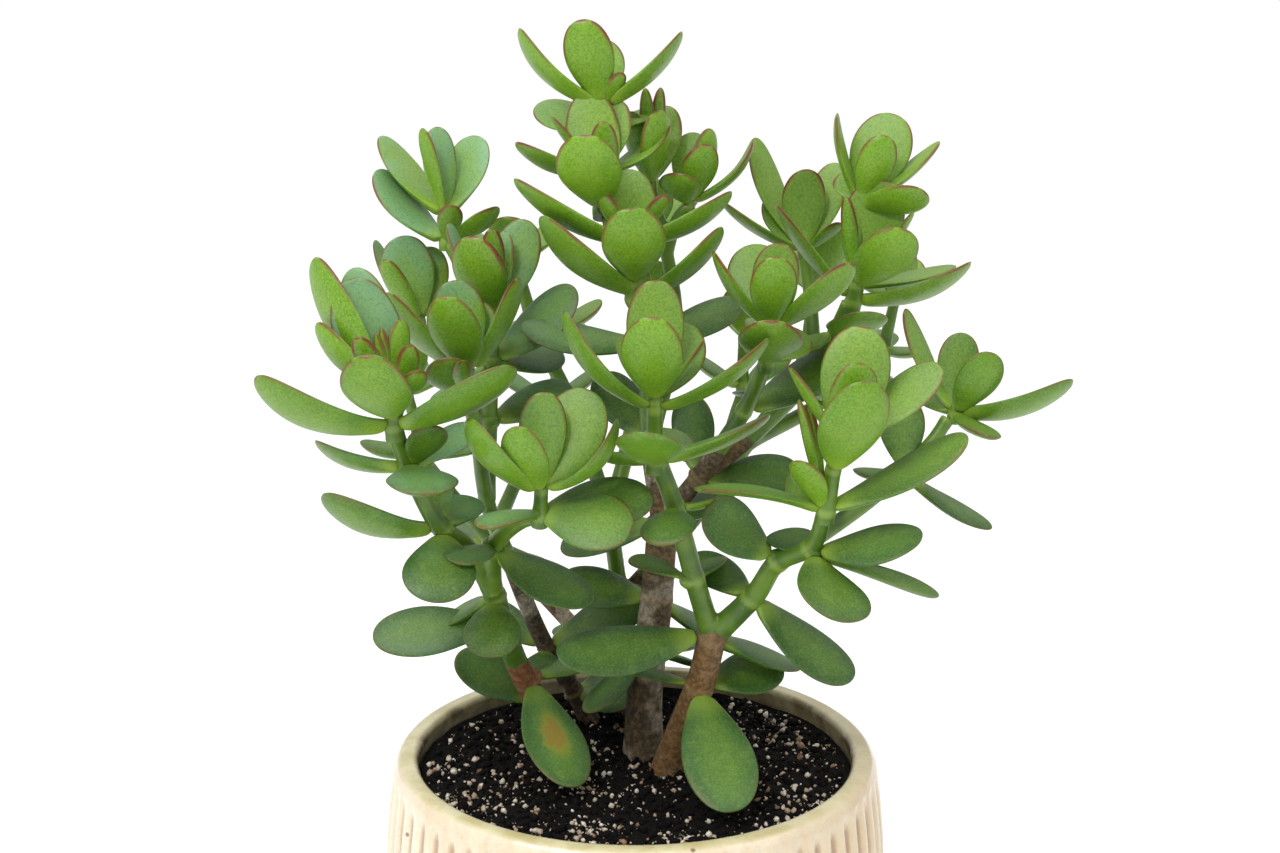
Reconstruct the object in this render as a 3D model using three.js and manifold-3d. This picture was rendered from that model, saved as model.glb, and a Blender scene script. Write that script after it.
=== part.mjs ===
// Potted jade plant: a ribbed planter, its potting mix, five trunks and the fleshy leaves on them.
// Millimetres, +Z up. The origin is the middle of the pot's underside; +X is right, +Y is back.
import * as THREE from "three";
import { mergeVertices } from "three/addons/utils/BufferGeometryUtils.js";
import Module from "manifold-3d";

const manifold = await Module();
manifold.setup();

// ---- Driving sizes ----
const POT_HEIGHT = 140;
const RIM_RADIUS = 77.5; // outside, at the lip
const BELLY_RADIUS = 81.5; // outside, where the pot is widest
const BELLY_HEIGHT = 95;
const FOOT_RADIUS = 61;
const WALL = 7.5;
const FLOOR = 9;
const LIP_ROUND = 3;
const RIBS = 64;
const RIB_DEPTH = 1.2;
const RIB_MARGIN = 6; // plain band above the foot and below the lip
const SOIL_BELOW_RIM = 5;
const ROOT_DEPTH = 26; // how far the trunks go down into the mix
const PLANT_SCALE = 1; // spread and height of the stems
const LEAF_SCALE = 1; // length, width and thickness of every leaf
const STEM_SCALE = 1; // girth of every stem
const GAP = 0.3; // clearance between pieces that touch
const MIX_CLEARANCE = 0.9; // between the mix and the wall's inside

const MIX_SIDES = 48;

const SOIL_TOP = POT_HEIGHT - SOIL_BELOW_RIM;

// ---- Trunks and branches ----
// Each limb: its girth (radius) at both ends and its way up, [right, back, height above the mix].
// A limb starts on the one before it, or on the trunk.
const trunks = {
  front_trunk: [
    { girth: [4.9, 4.6], way: [[10, -3, -4], [15, -8, 15], [21, -14, 34], [24, -18, 50]] },
    { girth: [3.5, 2.8], way: [[24, -18, 50], [18, -24, 72], [12, -30, 96], [7, -34, 111]] },
    { girth: [4.0, 2.4], way: [[24, -18, 50], [37, -24, 66], [43, -30, 78], [53, -38, 86],
      [56, -43, 98]] },
    { girth: [3.0, 2.2], way: [[43, -30, 78], [60, -20, 86], [74, -10, 93], [84, -4, 100],
      [93, 0, 108], [98, 2, 115]] },
  ],
  main_trunk: [
    { girth: [6.4, 5.0], way: [[3, 11, -4], [3, 14, 16], [7, 18, 50], [9, 20, 76]] },
    { girth: [3.8, 2.2], way: [[9, 20, 76], [5, 16, 104], [4, 4, 143], [3, -10, 158],
      [-1, -12, 174], [-9, -7, 183]] },
    { girth: [3.2, 2.4], way: [[9, 20, 76], [20, 14, 92], [34, 0, 118], [40, -14, 137]] },
    { girth: [3.2, 2.2], way: [[20, 14, 92], [40, 20, 107], [57, 16, 127], [67, 12, 150]] },
    { girth: [2.6, 2.0], way: [[57, 16, 127], [56, 24, 148], [54, 28, 162]] },
    { girth: [2.8, 2.0], way: [[5, 16, 104], [13, 24, 139], [10, 24, 164], [5, 21, 184]] },
    { girth: [2.2, 1.8], way: [[10, 24, 164], [14, 22, 176], [17, 22, 179]] },
  ],
  left_trunk: [
    { girth: [4.4, 2.6], way: [[-26, 15, -4], [-33, 10, 18], [-39, 2, 36], [-45, -10, 63],
      [-52, -20, 80], [-59, -28, 89], [-67, -36, 110], [-70, -42, 122]] },
    { girth: [3.2, 2.4], way: [[-45, -10, 63], [-43, -20, 80], [-34, -36, 93], [-28, -44, 97]] },
  ],
  grey_trunk: [
    { girth: [3.4, 2.3], way: [[-15, 39, -4], [-21, 36, 11], [-30, 30, 29], [-41, 14, 65],
      [-47, 4, 88], [-49, -6, 113], [-51, -12, 125]] },
    { girth: [2.8, 2.2], way: [[-47, 4, 88], [-46, 10, 112], [-45, 8, 132], [-44, 4, 145]] },
    { girth: [2.6, 2.0], way: [[-46, 10, 112], [-59, 22, 126], [-68, 26, 139]] },
    { girth: [2.6, 2.0], way: [[-45, 8, 132], [-52, 22, 152], [-59, 26, 166]] },
  ],
  rear_trunk: [
    { girth: [4.6, 3.8], way: [[0, 44, -10], [-2, 50, 5], [-4, 52, 23], [-5, 50, 38]] },
    { girth: [3.0, 2.4], way: [[-5, 50, 38], [-9, 44, 69], [-17, 44, 97], [-25, 46, 117],
      [-32, 48, 129]] },
    { girth: [3.0, 2.4], way: [[-9, 44, 69], [-2, 56, 94], [2, 62, 117], [3, 60, 132]] },
    { girth: [3.2, 2.4], way: [[-5, 50, 38], [19, 46, 68], [38, 42, 97], [52, 44, 117],
      [57, 46, 126]] },
    { girth: [3.2, 2.4], way: [[-2, 50, 5], [-27, 66, 29], [-51, 72, 53], [-68, 66, 77],
      [-72, 62, 84]] },
    { girth: [2.8, 2.2], way: [[38, 42, 97], [59, 60, 103], [78, 72, 113], [83, 75, 118]] },
    { girth: [2.8, 2.2], way: [[-51, 72, 53], [-41, 92, 73], [-33, 98, 90], [-30, 98, 94]] },
    { girth: [2.8, 2.2], way: [[19, 46, 68], [30, 76, 81], [36, 90, 96], [38, 92, 101]] },
  ],
};

// ---- Leaves ----
// Each cluster grips its stem with a collar (girth is the collar's radius). Its joints stand at
// [right, back, height above the mix]; each leaf is
// [heading, rise, length, width, sag, turn]: heading 0 points right, 90 back, 180 left, 270 front;
// rise is its climb; turn rolls its face about its own length. Degrees and millimetres.
const clusters = {
  leader_tip_leaves: { girth: 2.9, joints: [
    { at: [-10, -6, 183], leaves: [[109, 69, 36, 16.5, 2, -15], [257, 51, 31, 19.5, 3, 5],
      [279, 77, 27, 9, 0.5, -5]] },
    { at: [-10, 2, 192], leaves: [[172, 18, 28, 14, 2.5, 25], [38, 29, 29, 12, 3, 0],
      [188, 49, 23, 8, 1, 15], [51, 70, 23, 11, 1, 30]] },
    { at: [-11, 5, 205], leaves: [[142, 16, 24, 17, 1.5, -15], [49, 9, 27, 12, 1.5, 0]] },
    { at: [-10, 8, 212], leaves: [[173, 42, 34, 17, 4, 25], [12, 41, 33, 17, 2.5, -25],
      [233, 69, 28, 15, 1.5, 30], [95, 45, 26, 16, 1.5, -5], [321, 52, 13, 6, 0.5, -25]] },
  ] },
  leader_middle_leaves: { girth: 4.6, joints: [
    { at: [3, -11, 157], leaves: [[191, 39, 40, 19, 4, 30], [5, 41, 31, 18, 2.5, -30]] },
    { at: [0, -12, 161], leaves: [[266, 55, 31, 19, 3, 5], [104, 76, 34, 17, 1.5, -15]] },
    { at: [-1, -12, 173], leaves: [[173, 28, 40, 18, 3, 30], [11, 25, 34, 18, 2.5, -30],
      [198, 58, 18, 7, 0.5, 35], [334, 53, 19, 7, 0.5, -30]] },
  ] },
  leader_side_twig_leaves: { girth: 2.4, joints: [
    { at: [5, 21, 186], leaves: [[207, 74, 24, 11, 1, 25], [62, 64, 26, 12, 1.5, 20],
      [213, 86, 30, 5, 0.5, 50], [33, 83, 30, 5, 0.5, -110], [276, 63, 27, 14, 1.5, 45]] },
  ] },
  leader_right_twig_leaves: { girth: 2.2, joints: [
    { at: [17, 22, 180], leaves: [[30, 71, 24, 12.5, 1, -75], [307, 66, 21, 12, 1.5, -20],
      [83, 59, 24, 13, 1, 5], [9, 44, 28, 13, 3.5, -15], [236, 48, 14, 13, 1, 15]] },
  ] },
  high_left_twig_leaves: { girth: 2.5, joints: [
    { at: [-60, 26, 167], leaves: [[160, 43, 32, 19, 2.5, -5], [7, 31, 20, 10, 1, -50],
      [288, 51, 17, 8, 0.5, -10]] },
    { at: [-60, 28, 175], leaves: [[140, 40, 36, 18, 2, 10], [50, 59, 28, 18, 1.5, 0],
      [211, 75, 29, 10, 0.5, 0], [123, 80, 28, 11, 0.5, -15]] },
  ] },
  inner_left_twig_leaves: { girth: 2.7, joints: [
    { at: [-44, 4, 147], leaves: [[249, 63, 31, 17, 2.5, 10], [156, 63, 32, 14, 1.5, 20],
      [276, 80, 29, 8, 0.5, -5], [25, 80, 27, 8, 0.5, 50], [38, 65, 32, 15, 1.5, 50]] },
  ] },
  outer_left_twig_leaves: { girth: 2.5, joints: [
    { at: [-69, 26, 141], leaves: [[159, 78, 28, 17, 1.5, -65], [71, 65, 25, 13, 1.5, 20],
      [226, 58, 26, 9, 1, 20], [141, 52, 31, 10, 2, 15]] },
  ] },
  front_left_tip_leaves: { girth: 3.2, joints: [
    { at: [-70, -42, 124], leaves: [[192, 23, 43, 20, 5.5, 35], [341, 29, 43, 19, 3, -30]] },
    { at: [-70, -43, 128], leaves: [[260, 43, 34, 20, 4.5, 5], [156, 71, 41, 20, 2, -50],
      [129, 63, 45, 16, 2, -40]] },
    { at: [-68, -42, 132], leaves: [[302, 68, 19, 7, 1, -20], [303, 43, 16, 9, 1, -15]] },
    { at: [-71, -44, 135], leaves: [[233, 55, 22, 8, 1, 30], [213, 78, 18, 3.4, 0, 40],
      [214, 84, 19, 3.4, 0, 45], [47, 75, 21, 8, 1, -100], [164, 40, 29, 12, 3, 55],
      [149, 54, 45, 19, 2.5, 75]] },
  ] },
  middle_left_tip_leaves: { girth: 2.8, joints: [
    { at: [-53, -13, 127], leaves: [[253, 44, 20, 14, 1.5, 15], [278, 36, 25, 6, 1, -5]] },
    { at: [-50, -14, 134], leaves: [[252, 56, 32, 16, 2.5, 15], [157, 79, 28, 16, 1.5, -60],
      [78, 63, 22, 14, 1, 10], [189, 46, 35, 17, 3, 25], [15, 61, 32, 16, 2, -32]] },
  ] },
  front_low_tip_leaves: { girth: 2.9, joints: [
    { at: [-28, -44, 98], leaves: [[236, 5, 27, 15, -1.5, 0], [340, -5, 29, 20, -0.5, 40],
      [17, 4, 35, 18, 0.5, 35]] },
    { at: [-27, -48, 106], leaves: [[245, 58, 27, 13.5, 2, 15], [75, 82, 29, 14, 1.5, 15],
      [41, 56, 33, 20, 2, 40], [0, 45, 31, 14, 5.5, -18], [191, 48, 31, 19, 3.5, 25]] },
  ] },
  front_centre_tip_leaves: { girth: 3.3, joints: [
    { at: [6, -34, 112], leaves: [[267, 26, 38, 20, 1, 0], [10, 19, 37, 19, 2, -20],
      [156, -4, 19, 15, 0.5, 25], [79, 3, 29, 18, 1.5, 15]] },
    { at: [6, -38, 128], leaves: [[187, 49, 40, 15, 5.5, 25], [355, 34, 40, 15, 3.5, -20]] },
    { at: [6, -38, 131], leaves: [[268, 59, 33, 18, 2.5, 0], [88, 77, 35, 17, 2, 0],
      [8, 51, 23, 10, 1, -15], [170, 57, 20, 8, 1, 45], [60, 43, 28, 17, 1.5, 25]] },
  ] },
  front_centre_leaf_pair: { girth: 5.0, joints: [
    { at: [12, -30, 96], leaves: [[261, -17, 21, 17, -1, 5], [36, -2, 14, 10, 1, -20]] },
  ] },
  front_fork_leaf_pair: { girth: 5.2, joints: [
    { at: [17, -24, 71], leaves: [[168, 14, 20, 9, -0.5, -10], [69, -1, 24, 12, 0.5, -10]] },
  ] },
  right_centre_tip_leaves: { girth: 2.9, joints: [
    { at: [40, -14, 138], leaves: [[269, 32, 33, 19, 2, 0], [58, 13, 22, 16, 1.5, 15]] },
    { at: [41, -20, 149], leaves: [[270, 61, 27, 14, 2, 0], [60, 79, 25, 14, 1.5, 30],
      [180, 53, 29, 13, 2.5, 20], [350, 40, 31, 17, 2, -30], [114, 56, 27, 18, 1.5, -20]] },
  ] },
  high_right_tip_leaves: { girth: 2.9, joints: [
    { at: [68, 12, 151], leaves: [[3, 17, 39, 19, 4, -25], [175, 51, 39, 13, 1.5, 25]] },
    { at: [69, 10, 156], leaves: [[309, 44, 29, 18, 2.5, -30], [340, 76, 34, 19, 1.5, 95],
      [180, 82, 28, 5, 1, 75], [13, 51, 29, 7, 1, -40], [31, 4, 39, 12, 1.5, 0]] },
    { at: [70, 12, 181], leaves: [[322, 14, 24, 15, 2, -40], [166, 74, 29, 13, 1.5, 5],
      [9, 38, 31, 13, 1.5, 0], [312, 67, 24, 12, 1.5, -35], [37, 64, 30, 19, 1.5, 35],
      [107, 35, 15, 12, 1, -10]] },
  ] },
  high_right_leaf_whorl: { girth: 4.4, joints: [
    { at: [63, 13, 140], leaves: [[287, 24, 30, 18, 1.5, -10], [206, -11, 19, 16, 0.5, 0],
      [31, -37, 30, 15, 1, 10]] },
  ] },
  inner_right_twig_leaves: { girth: 2.5, joints: [
    { at: [54, 28, 164], leaves: [[267, 86, 26, 14, 1.5, -175], [152, 54, 21, 14, 1.5, -30],
      [154, 63, 39, 15, 2.5, -10], [184, 31, 31, 13, 2, 10], [40, 62, 30, 12, 2, 30],
      [341, 38, 15, 8, 0.5, -25]] },
  ] },
  front_right_tip_leaves: { girth: 3.1, joints: [
    { at: [56, -43, 99], leaves: [[194, 12, 41, 14, -2.5, 0], [357, 29, 47, 17, 2, 15],
      [228, 53, 22, 11, 0.5, 10], [210, 74, 36, 4, 0, 40], [207, 79, 34, 4, 0, 45],
      [111, 23, 19, 14, 1, -10]] },
    { at: [58, -46, 112], leaves: [[290, 57, 37, 20, 3, -15]] },
    { at: [59, -48, 121], leaves: [[310, 72, 26, 14, 1.5, -35],
      [47, 71, 34, 20, 1.5, 40], [11, 35, 37, 15, 2, 25], [188, 57, 27, 8, 0.5, 15]] },
  ] },
  front_right_leaf_whorl: { girth: 5.2, joints: [
    { at: [53, -38, 84], leaves: [[342, 14, 34, 19, 1, 25], [292, -30, 28, 25, 0.5, -20],
      [6, -22, 42, 14, -1, -25], [115, 4, 20, 16, 0.5, -10]] },
  ] },
  front_right_single_leaf: { girth: 5.4, joints: [
    { at: [43, -30, 79], leaves: [[175, 37, 27, 21, 1.5, -30]] },
  ] },
  far_right_tip_leaves: { girth: 2.7, joints: [
    { at: [100, 2, 117], leaves: [[67, 77, 25, 13, 1, 20], [315, 59, 25, 15, 2, -30],
      [0, 16, 38, 18, 4, -38], [301, -12, 19, 15, 0.5, -15], [159, 62, 36, 11, 2, -10],
      [110, 16, 18, 14, 1, -10]] },
  ] },
  far_right_leaf_whorl: { girth: 4.2, joints: [
    { at: [84, -4, 99], leaves: [[4, -32, 34, 14, 1.5, 10], [97, 71, 25, 15, 1, -5],
      [201, 7, 17, 13, 0.5, 0]] },
  ] },
  left_trunk_leaf_whorl_5: { girth: 4.6, joints: [
    { at: [-67, -36, 110], leaves: [[164, 10, 30, 17, 2.5, 30], [288, -2, 27, 21, -0.5, 0],
      [327, 52, 18, 13, 0.5, -25], [41, 19, 26, 12, 0.5, 20]] },
  ] },
  left_trunk_leaf_whorl_4: { girth: 5.6, joints: [
    { at: [-58, -27, 88], leaves: [[186, 18, 38, 20, 4.5, 35], [267, -37, 27, 22, -0.5, 0],
      [68, 14, 20, 14, 0.5, 5], [121, 58, 18, 12, 0.5, -15]] },
  ] },
  left_trunk_leaf_pair_3: { girth: 5.4, joints: [
    { at: [-44, -20, 80], leaves: [[339, -23, 36, 20, 1.5, 15], [248, 5, 24, 16, -1, 0]] },
  ] },
  left_trunk_leaf_whorl_2: { girth: 5.8, joints: [
    { at: [-42, -4, 49], leaves: [[178, -6, 42, 18, 0.5, -40]] },
    { at: [-44, -8, 60], leaves: [[269, -42, 22, 18, -1, 0], [141, -30, 26, 14, 0.5, -20]] },
  ] },
  left_trunk_leaf_whorl_1: { girth: 6.6, joints: [
    { at: [-31, 11, 16], leaves: [[170, 28, 32, 16, 0, -40]] },
    { at: [-34, 8, 26], leaves: [[290, -26, 47, 21, 0.5, -5], [32, 7, 27, 12, 1, 10]] },
  ] },
  front_trunk_leaf_pair_2: { girth: 7.8, joints: [
    { at: [23, -18, 51], leaves: [[197, -2, 49, 19, 2.5, -35], [25, -26, 36, 16, 1, 15]] },
  ] },
  front_right_leaf_pair: { girth: 5.4, joints: [
    { at: [36, -23, 65], leaves: [[342, -36, 40, 20, 2, 15], [124, 10, 32, 16, 1, -10]] },
  ] },
  front_trunk_leaf_whorl_1: { girth: 7.8, joints: [
    { at: [20, -13, 32], leaves: [[284, -34, 47, 23, 0.5, 0], [20, 6, 29, 18, 1, 25],
      [187, 18, 33, 9, 0.5, -10]] },
  ] },
  grey_trunk_leaf_whorl_2: { girth: 4.8, joints: [
    { at: [-30, 30, 29], leaves: [[3, 28, 39, 20, 1.5, 30], [261, -32, 12, 13, 0, 0],
      [155, 23, 31, 16, 0.5, -20]] },
  ] },
  grey_trunk_leaf_pair_1: { girth: 5.0, joints: [
    { at: [-21, 36, 10], leaves: [[343, -1, 21, 16, 0.5, 20], [32, 8, 27, 14, 0.5, 15]] },
  ] },
  main_trunk_leaf_pair_2: { girth: 8.4, joints: [
    { at: [7, 18, 50], leaves: [[169, 8, 33, 18, 1, -25], [28, -35, 42, 16, 1, 25]] },
  ] },
  main_trunk_leaf_pair_1: { girth: 9, joints: [
    { at: [5, 16, 33], leaves: [[209, -35, 30, 13, 0, -10], [52, -26, 31, 12, 0, 5]] },
  ] },
  main_trunk_leaf_pair_3: { girth: 7.8, joints: [
    { at: [9, 20, 76], leaves: [[342, 31, 31, 18, 1.5, 25], [164, -18, 37, 18, 1, -30]] },
  ] },
  leader_lower_leaf_pair: { girth: 5.4, joints: [
    { at: [5, 16, 104], leaves: [[144, 44, 28, 17, 1.5, -25], [36, -15, 36, 17, 2, 30]] },
  ] },
  leader_upper_leaf_pair: { girth: 5.2, joints: [
    { at: [4, 6, 138], leaves: [[183, 9, 40, 19, 2, -20], [22, 20, 34, 18, 1.5, 20]] },
  ] },
  right_branch_leaf_pair: { girth: 5.0, joints: [
    { at: [20, 14, 92], leaves: [[0, 4, 33, 18, 1, 30], [98, 56, 29, 14, 1, -5]] },
  ] },
  right_branch_single_leaf: { girth: 4.6, joints: [
    { at: [34, 0, 118], leaves: [[13, 27, 39, 20, 2, 20]] },
  ] },
  inner_left_leaf_whorl_2: { girth: 4.2, joints: [
    { at: [-45, 8, 132], leaves: [[13, 40, 35, 18, 1.5, 30], [41, -1, 28, 17, 1, 25],
      [186, -32, 23, 14, 1, 0]] },
  ] },
  inner_left_leaf_whorl_1: { girth: 4.4, joints: [
    { at: [-46, 10, 112], leaves: [[29, 17, 30, 17, 1, 25], [155, -20, 25, 14, 1, 0]] },
  ] },
  rear_left_tip_leaves: { girth: 2.8, joints: [
    { at: [-32, 48, 132], leaves: [[158, 10, 22, 17, 1.5, 0], [16, 26, 24, 17, 1.5, 0]] },
    { at: [-40, 46, 157], leaves: [[158, 25, 23, 17, 1.5, 0], [27, 39, 23, 17, 1.5, 0],
      [98, 7, 31, 17, 2, -5], [273, 50, 22, 16, 1, -5]] },
  ] },
  rear_centre_tip_leaves: { girth: 2.8, joints: [
    { at: [3, 60, 135], leaves: [[84, 10, 35, 18, 1.5, 5], [277, 55, 28, 17, 1.5, -5]] },
    { at: [3, 62, 162], leaves: [[161, 46, 27, 17, 1.5, 0], [18, 42, 27, 17, 1.5, 0],
      [93, 32, 31, 17, 2, 0], [281, 65, 24, 16, 1, -10]] },
  ] },
  rear_right_tip_leaves: { girth: 2.8, joints: [
    { at: [57, 46, 129], leaves: [[139, 13, 25, 16, 1, 0], [28, 8, 22, 16, 1, 0]] },
    { at: [59, 48, 147], leaves: [[95, 21, 32, 17, 2, -5], [293, 69, 25, 16, 1, -20],
      [40, 33, 26, 16, 1.5, 0]] },
  ] },
  rear_far_left_tip_leaves: { girth: 2.8, joints: [
    { at: [-72, 62, 87], leaves: [[161, 7, 24, 17, 1, 0], [33, 9, 26, 17, 1.5, 0]] },
    { at: [-78, 60, 109], leaves: [[99, 11, 37, 18, 2, -5], [277, 63, 31, 16, 1.5, -5],
      [148, 35, 28, 17, 1.5, 0], [36, 30, 28, 17, 1.5, 0]] },
  ] },
  rear_left_leaf_pair: { girth: 4.6, joints: [
    { at: [-51, 72, 53], leaves: [[132, -1, 35, 18, 1, 0], [48, -27, 30, 17, 1, 0]] },
  ] },
  rear_far_right_tip_leaves: { girth: 2.7, joints: [
    { at: [85, 76, 121], leaves: [[92, 4, 24, 17, 1, 0], [330, 2, 16, 15, 0.5, 0]] },
    { at: [90, 78, 138], leaves: [[153, 36, 22, 16, 1.5, 0], [23, 25, 22, 15, 1.5, 0],
      [76, 29, 24, 16, 1.5, 5], [251, 69, 24, 15, 1, 15]] },
  ] },
  rear_trunk_leaf_pair_2: { girth: 6.6, joints: [
    { at: [-4, 52, 23], leaves: [[132, -6, 35, 18, 1.5, 0], [42, -14, 37, 18, 1.5, 0]] },
  ] },
  rear_trunk_leaf_pair_1: { girth: 6.6, joints: [
    { at: [-5, 50, 38], leaves: [[81, -14, 44, 19, 1.5, 0], [255, 35, 30, 15, 1, 0]] },
  ] },
  rear_outer_left_tip_leaves: { girth: 2.6, joints: [
    { at: [-30, 98, 97], leaves: [[174, 30, 22, 17, 1, 0], [13, 34, 22, 17, 1, 0]] },
    { at: [-27, 100, 115], leaves: [[86, 24, 20, 17, 1, 0], [263, 65, 24, 16, 1, 5],
      [144, 23, 22, 14, 1, 0]] },
  ] },
  rear_outer_right_tip_leaves: { girth: 2.6, joints: [
    { at: [38, 92, 104], leaves: [[174, 32, 22, 17, 1, 0], [19, 33, 21, 17, 1, 0]] },
    { at: [38, 94, 122], leaves: [[80, 18, 21, 17, 1, 5], [263, 68, 21, 15, 1, 5],
      [33, 28, 21, 14, 1, 0]] },
  ] },
  rear_right_leaf_pair: { girth: 4.4, joints: [
    { at: [52, 44, 117], leaves: [[47, -19, 29, 17, 1.5, 0], [123, -18, 30, 17, 1.5, 0]] },
  ] },
};

// ---- Solids ----
function solidOf(geometry) {
  geometry.deleteAttribute("normal");
  geometry.deleteAttribute("uv");
  const merged = mergeVertices(geometry, 1e-4);
  return new manifold.Manifold(new manifold.Mesh({
    numProp: 3,
    vertProperties: merged.attributes.position.array,
    triVerts: new Uint32Array(merged.index.array),
  }));
}

function mapVertices(geometry, place) {
  const positions = geometry.attributes.position;
  const vertex = new THREE.Vector3();
  for (let i = 0; i < positions.count; i += 1) {
    vertex.fromBufferAttribute(positions, i);
    const moved = place(vertex.x, vertex.y, vertex.z);
    positions.setXYZ(i, moved.x, moved.y, moved.z);
  }
  return geometry;
}

function union(solids) {
  return solids.reduce((whole, solid) => whole.add(solid));
}

function boxesMeet(first, second) {
  const a = first.boundingBox();
  const b = second.boundingBox();
  return [0, 1, 2].every((axis) => a.min[axis] < b.max[axis] && b.min[axis] < a.max[axis]);
}

const SHORTEST = 0.06; // details smaller than this are smoothed away after a cut

// Cuts a piece back from its neighbours and keeps the body that is still on its stem.
function clearOf(solid, neighbours) {
  let left = solid;
  for (const neighbour of neighbours) {
    if (boxesMeet(left, neighbour)) left = left.subtract(neighbour);
  }
  const bodies = left.simplify(SHORTEST).decompose();
  return bodies.reduce((best, body) => (body.volume() > best.volume() ? body : best));
}

function abovePot([right, back, height]) {
  return new THREE.Vector3(right * PLANT_SCALE, back * PLANT_SCALE, SOIL_TOP + height * PLANT_SCALE);
}

// ---- Pot and mix ----
function outerRadius(height) {
  if (height < BELLY_HEIGHT) {
    const rise = height / BELLY_HEIGHT;
    return FOOT_RADIUS + (BELLY_RADIUS - FOOT_RADIUS) * Math.sin((rise * Math.PI) / 2);
  }
  const above = (height - BELLY_HEIGHT) / (POT_HEIGHT - BELLY_HEIGHT);
  return BELLY_RADIUS + (RIM_RADIUS - BELLY_RADIUS) * above * above;
}

function innerRadius(height) {
  return outerRadius(height) - WALL;
}

const WALL_STEPS = [0.3, 0.6, 0.85].map((share) => share * POT_HEIGHT);
const INNER_STEPS = [WALL_STEPS[0], WALL_STEPS[2]].filter((height) => height < SOIL_TOP);

function ringsOf(heights, radiusAt) {
  return heights.map((height) => new THREE.Vector2(radiusAt(height), height));
}

function lathed(profile, sides) {
  return new THREE.LatheGeometry(profile, sides).rotateX(Math.PI / 2);
}

// The pot with its ribs pressed in; extra grows the lip and the inside for the clearance around it.
function potSolid(extra = 0) {
  const ribTop = POT_HEIGHT - RIB_MARGIN;
  const lip = POT_HEIGHT - LIP_ROUND;
  const mouth = innerRadius(POT_HEIGHT) - extra;
  const profile = [
    new THREE.Vector2(0, 0),
    new THREE.Vector2(FOOT_RADIUS - LIP_ROUND, 0),
    ...ringsOf([RIB_MARGIN, ...WALL_STEPS, ribTop], (height) => outerRadius(height) + extra),
    new THREE.Vector2(RIM_RADIUS + extra, lip),
    new THREE.Vector2(RIM_RADIUS - LIP_ROUND + extra, POT_HEIGHT + extra),
    new THREE.Vector2(mouth + LIP_ROUND / 2, POT_HEIGHT + extra),
    new THREE.Vector2(mouth, lip),
    ...ringsOf([SOIL_TOP, ...INNER_STEPS.toReversed()], (height) => innerRadius(height) - extra),
    new THREE.Vector2(innerRadius(FLOOR) - extra, FLOOR + extra),
    new THREE.Vector2(0, FLOOR + extra),
  ];
  const ribbed = mapVertices(lathed(profile, RIBS * 2), (x, y, z) => {
    const radius = Math.hypot(x, y);
    const onRibs = radius > outerRadius(z) - WALL / 2 && z > RIB_MARGIN / 2 && z < ribTop - 1;
    const valley = onRibs && Math.cos(RIBS * Math.atan2(y, x)) < 0;
    const pull = valley ? 1 - RIB_DEPTH / radius : 1;
    return new THREE.Vector3(x * pull, y * pull, z);
  });
  return solidOf(ribbed);
}

// The potting mix fills the pot up to SOIL_TOP, just clear of the wall and the floor.
function mixSolid(extra = 0) {
  const low = FLOOR + GAP;
  const side = ringsOf([low, ...INNER_STEPS, SOIL_TOP], (height) => innerRadius(height) - MIX_CLEARANCE);
  side[side.length - 1].y += extra;
  const profile = [new THREE.Vector2(0, low), ...side, new THREE.Vector2(0, SOIL_TOP + extra)];
  return solidOf(lathed(profile, MIX_SIDES));
}

// ---- Stems ----
const SIDES = 6;

// A closed tube along a smooth curve; its radius runs evenly from the first value to the last.
function tubeSolid(points, [first, last], steps, extra = 0) {
  const curve = new THREE.CatmullRomCurve3(points, false, "centripetal");
  const frames = curve.computeFrenetFrames(steps);
  const tube = new THREE.CylinderGeometry(1, 1, 1, SIDES, steps);
  return solidOf(mapVertices(tube, (x, y, z) => {
    const share = 0.5 - y;
    const ring = Math.round(share * steps);
    const radius = (first + (last - first) * share) * STEM_SCALE + extra;
    return curve
      .getPointAt(share)
      .addScaledVector(frames.tangents[ring], (share - 0.5) * 2 * extra)
      .addScaledVector(frames.normals[ring], x * radius)
      .addScaledVector(frames.binormals[ring], z * radius);
  }));
}

function trunkSolid(limbs, extra = 0) {
  return union(limbs.map(({ girth, way }, index) => {
    const points = way.map(abovePot);
    if (index === 0) points.unshift(new THREE.Vector3(points[0].x, points[0].y, SOIL_TOP - ROOT_DEPTH));
    return tubeSolid(points, girth, points.length + 1, extra);
  }));
}

// ---- Leaves ----
// Half the blade's width at a share of its length: a narrow foot, then a broad round end.
function bladeWidth(share) {
  const widest = 0.66;
  const foot = 0.24 + 0.76 * Math.sin((Math.PI / 2) * Math.min(1, share / widest)) ** 1.5;
  const end = share < widest ? 1 : Math.sqrt(Math.max(0, 1 - ((share - widest) / (1 - widest)) ** 2));
  return (foot * end) / 2;
}

function bladeThickness(share) {
  return share < 0.5 ? 1 : Math.sqrt(Math.max(0, 1 - ((share - 0.5) / 0.5) ** 2.2));
}

const THICKEST = 4.6;
const FOOT_SHARE = 0.45; // a leaf's foot stands this far out in its collar
const FACE_SHARE = 0.35; // of the thickness, on the flatter upper face

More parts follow.
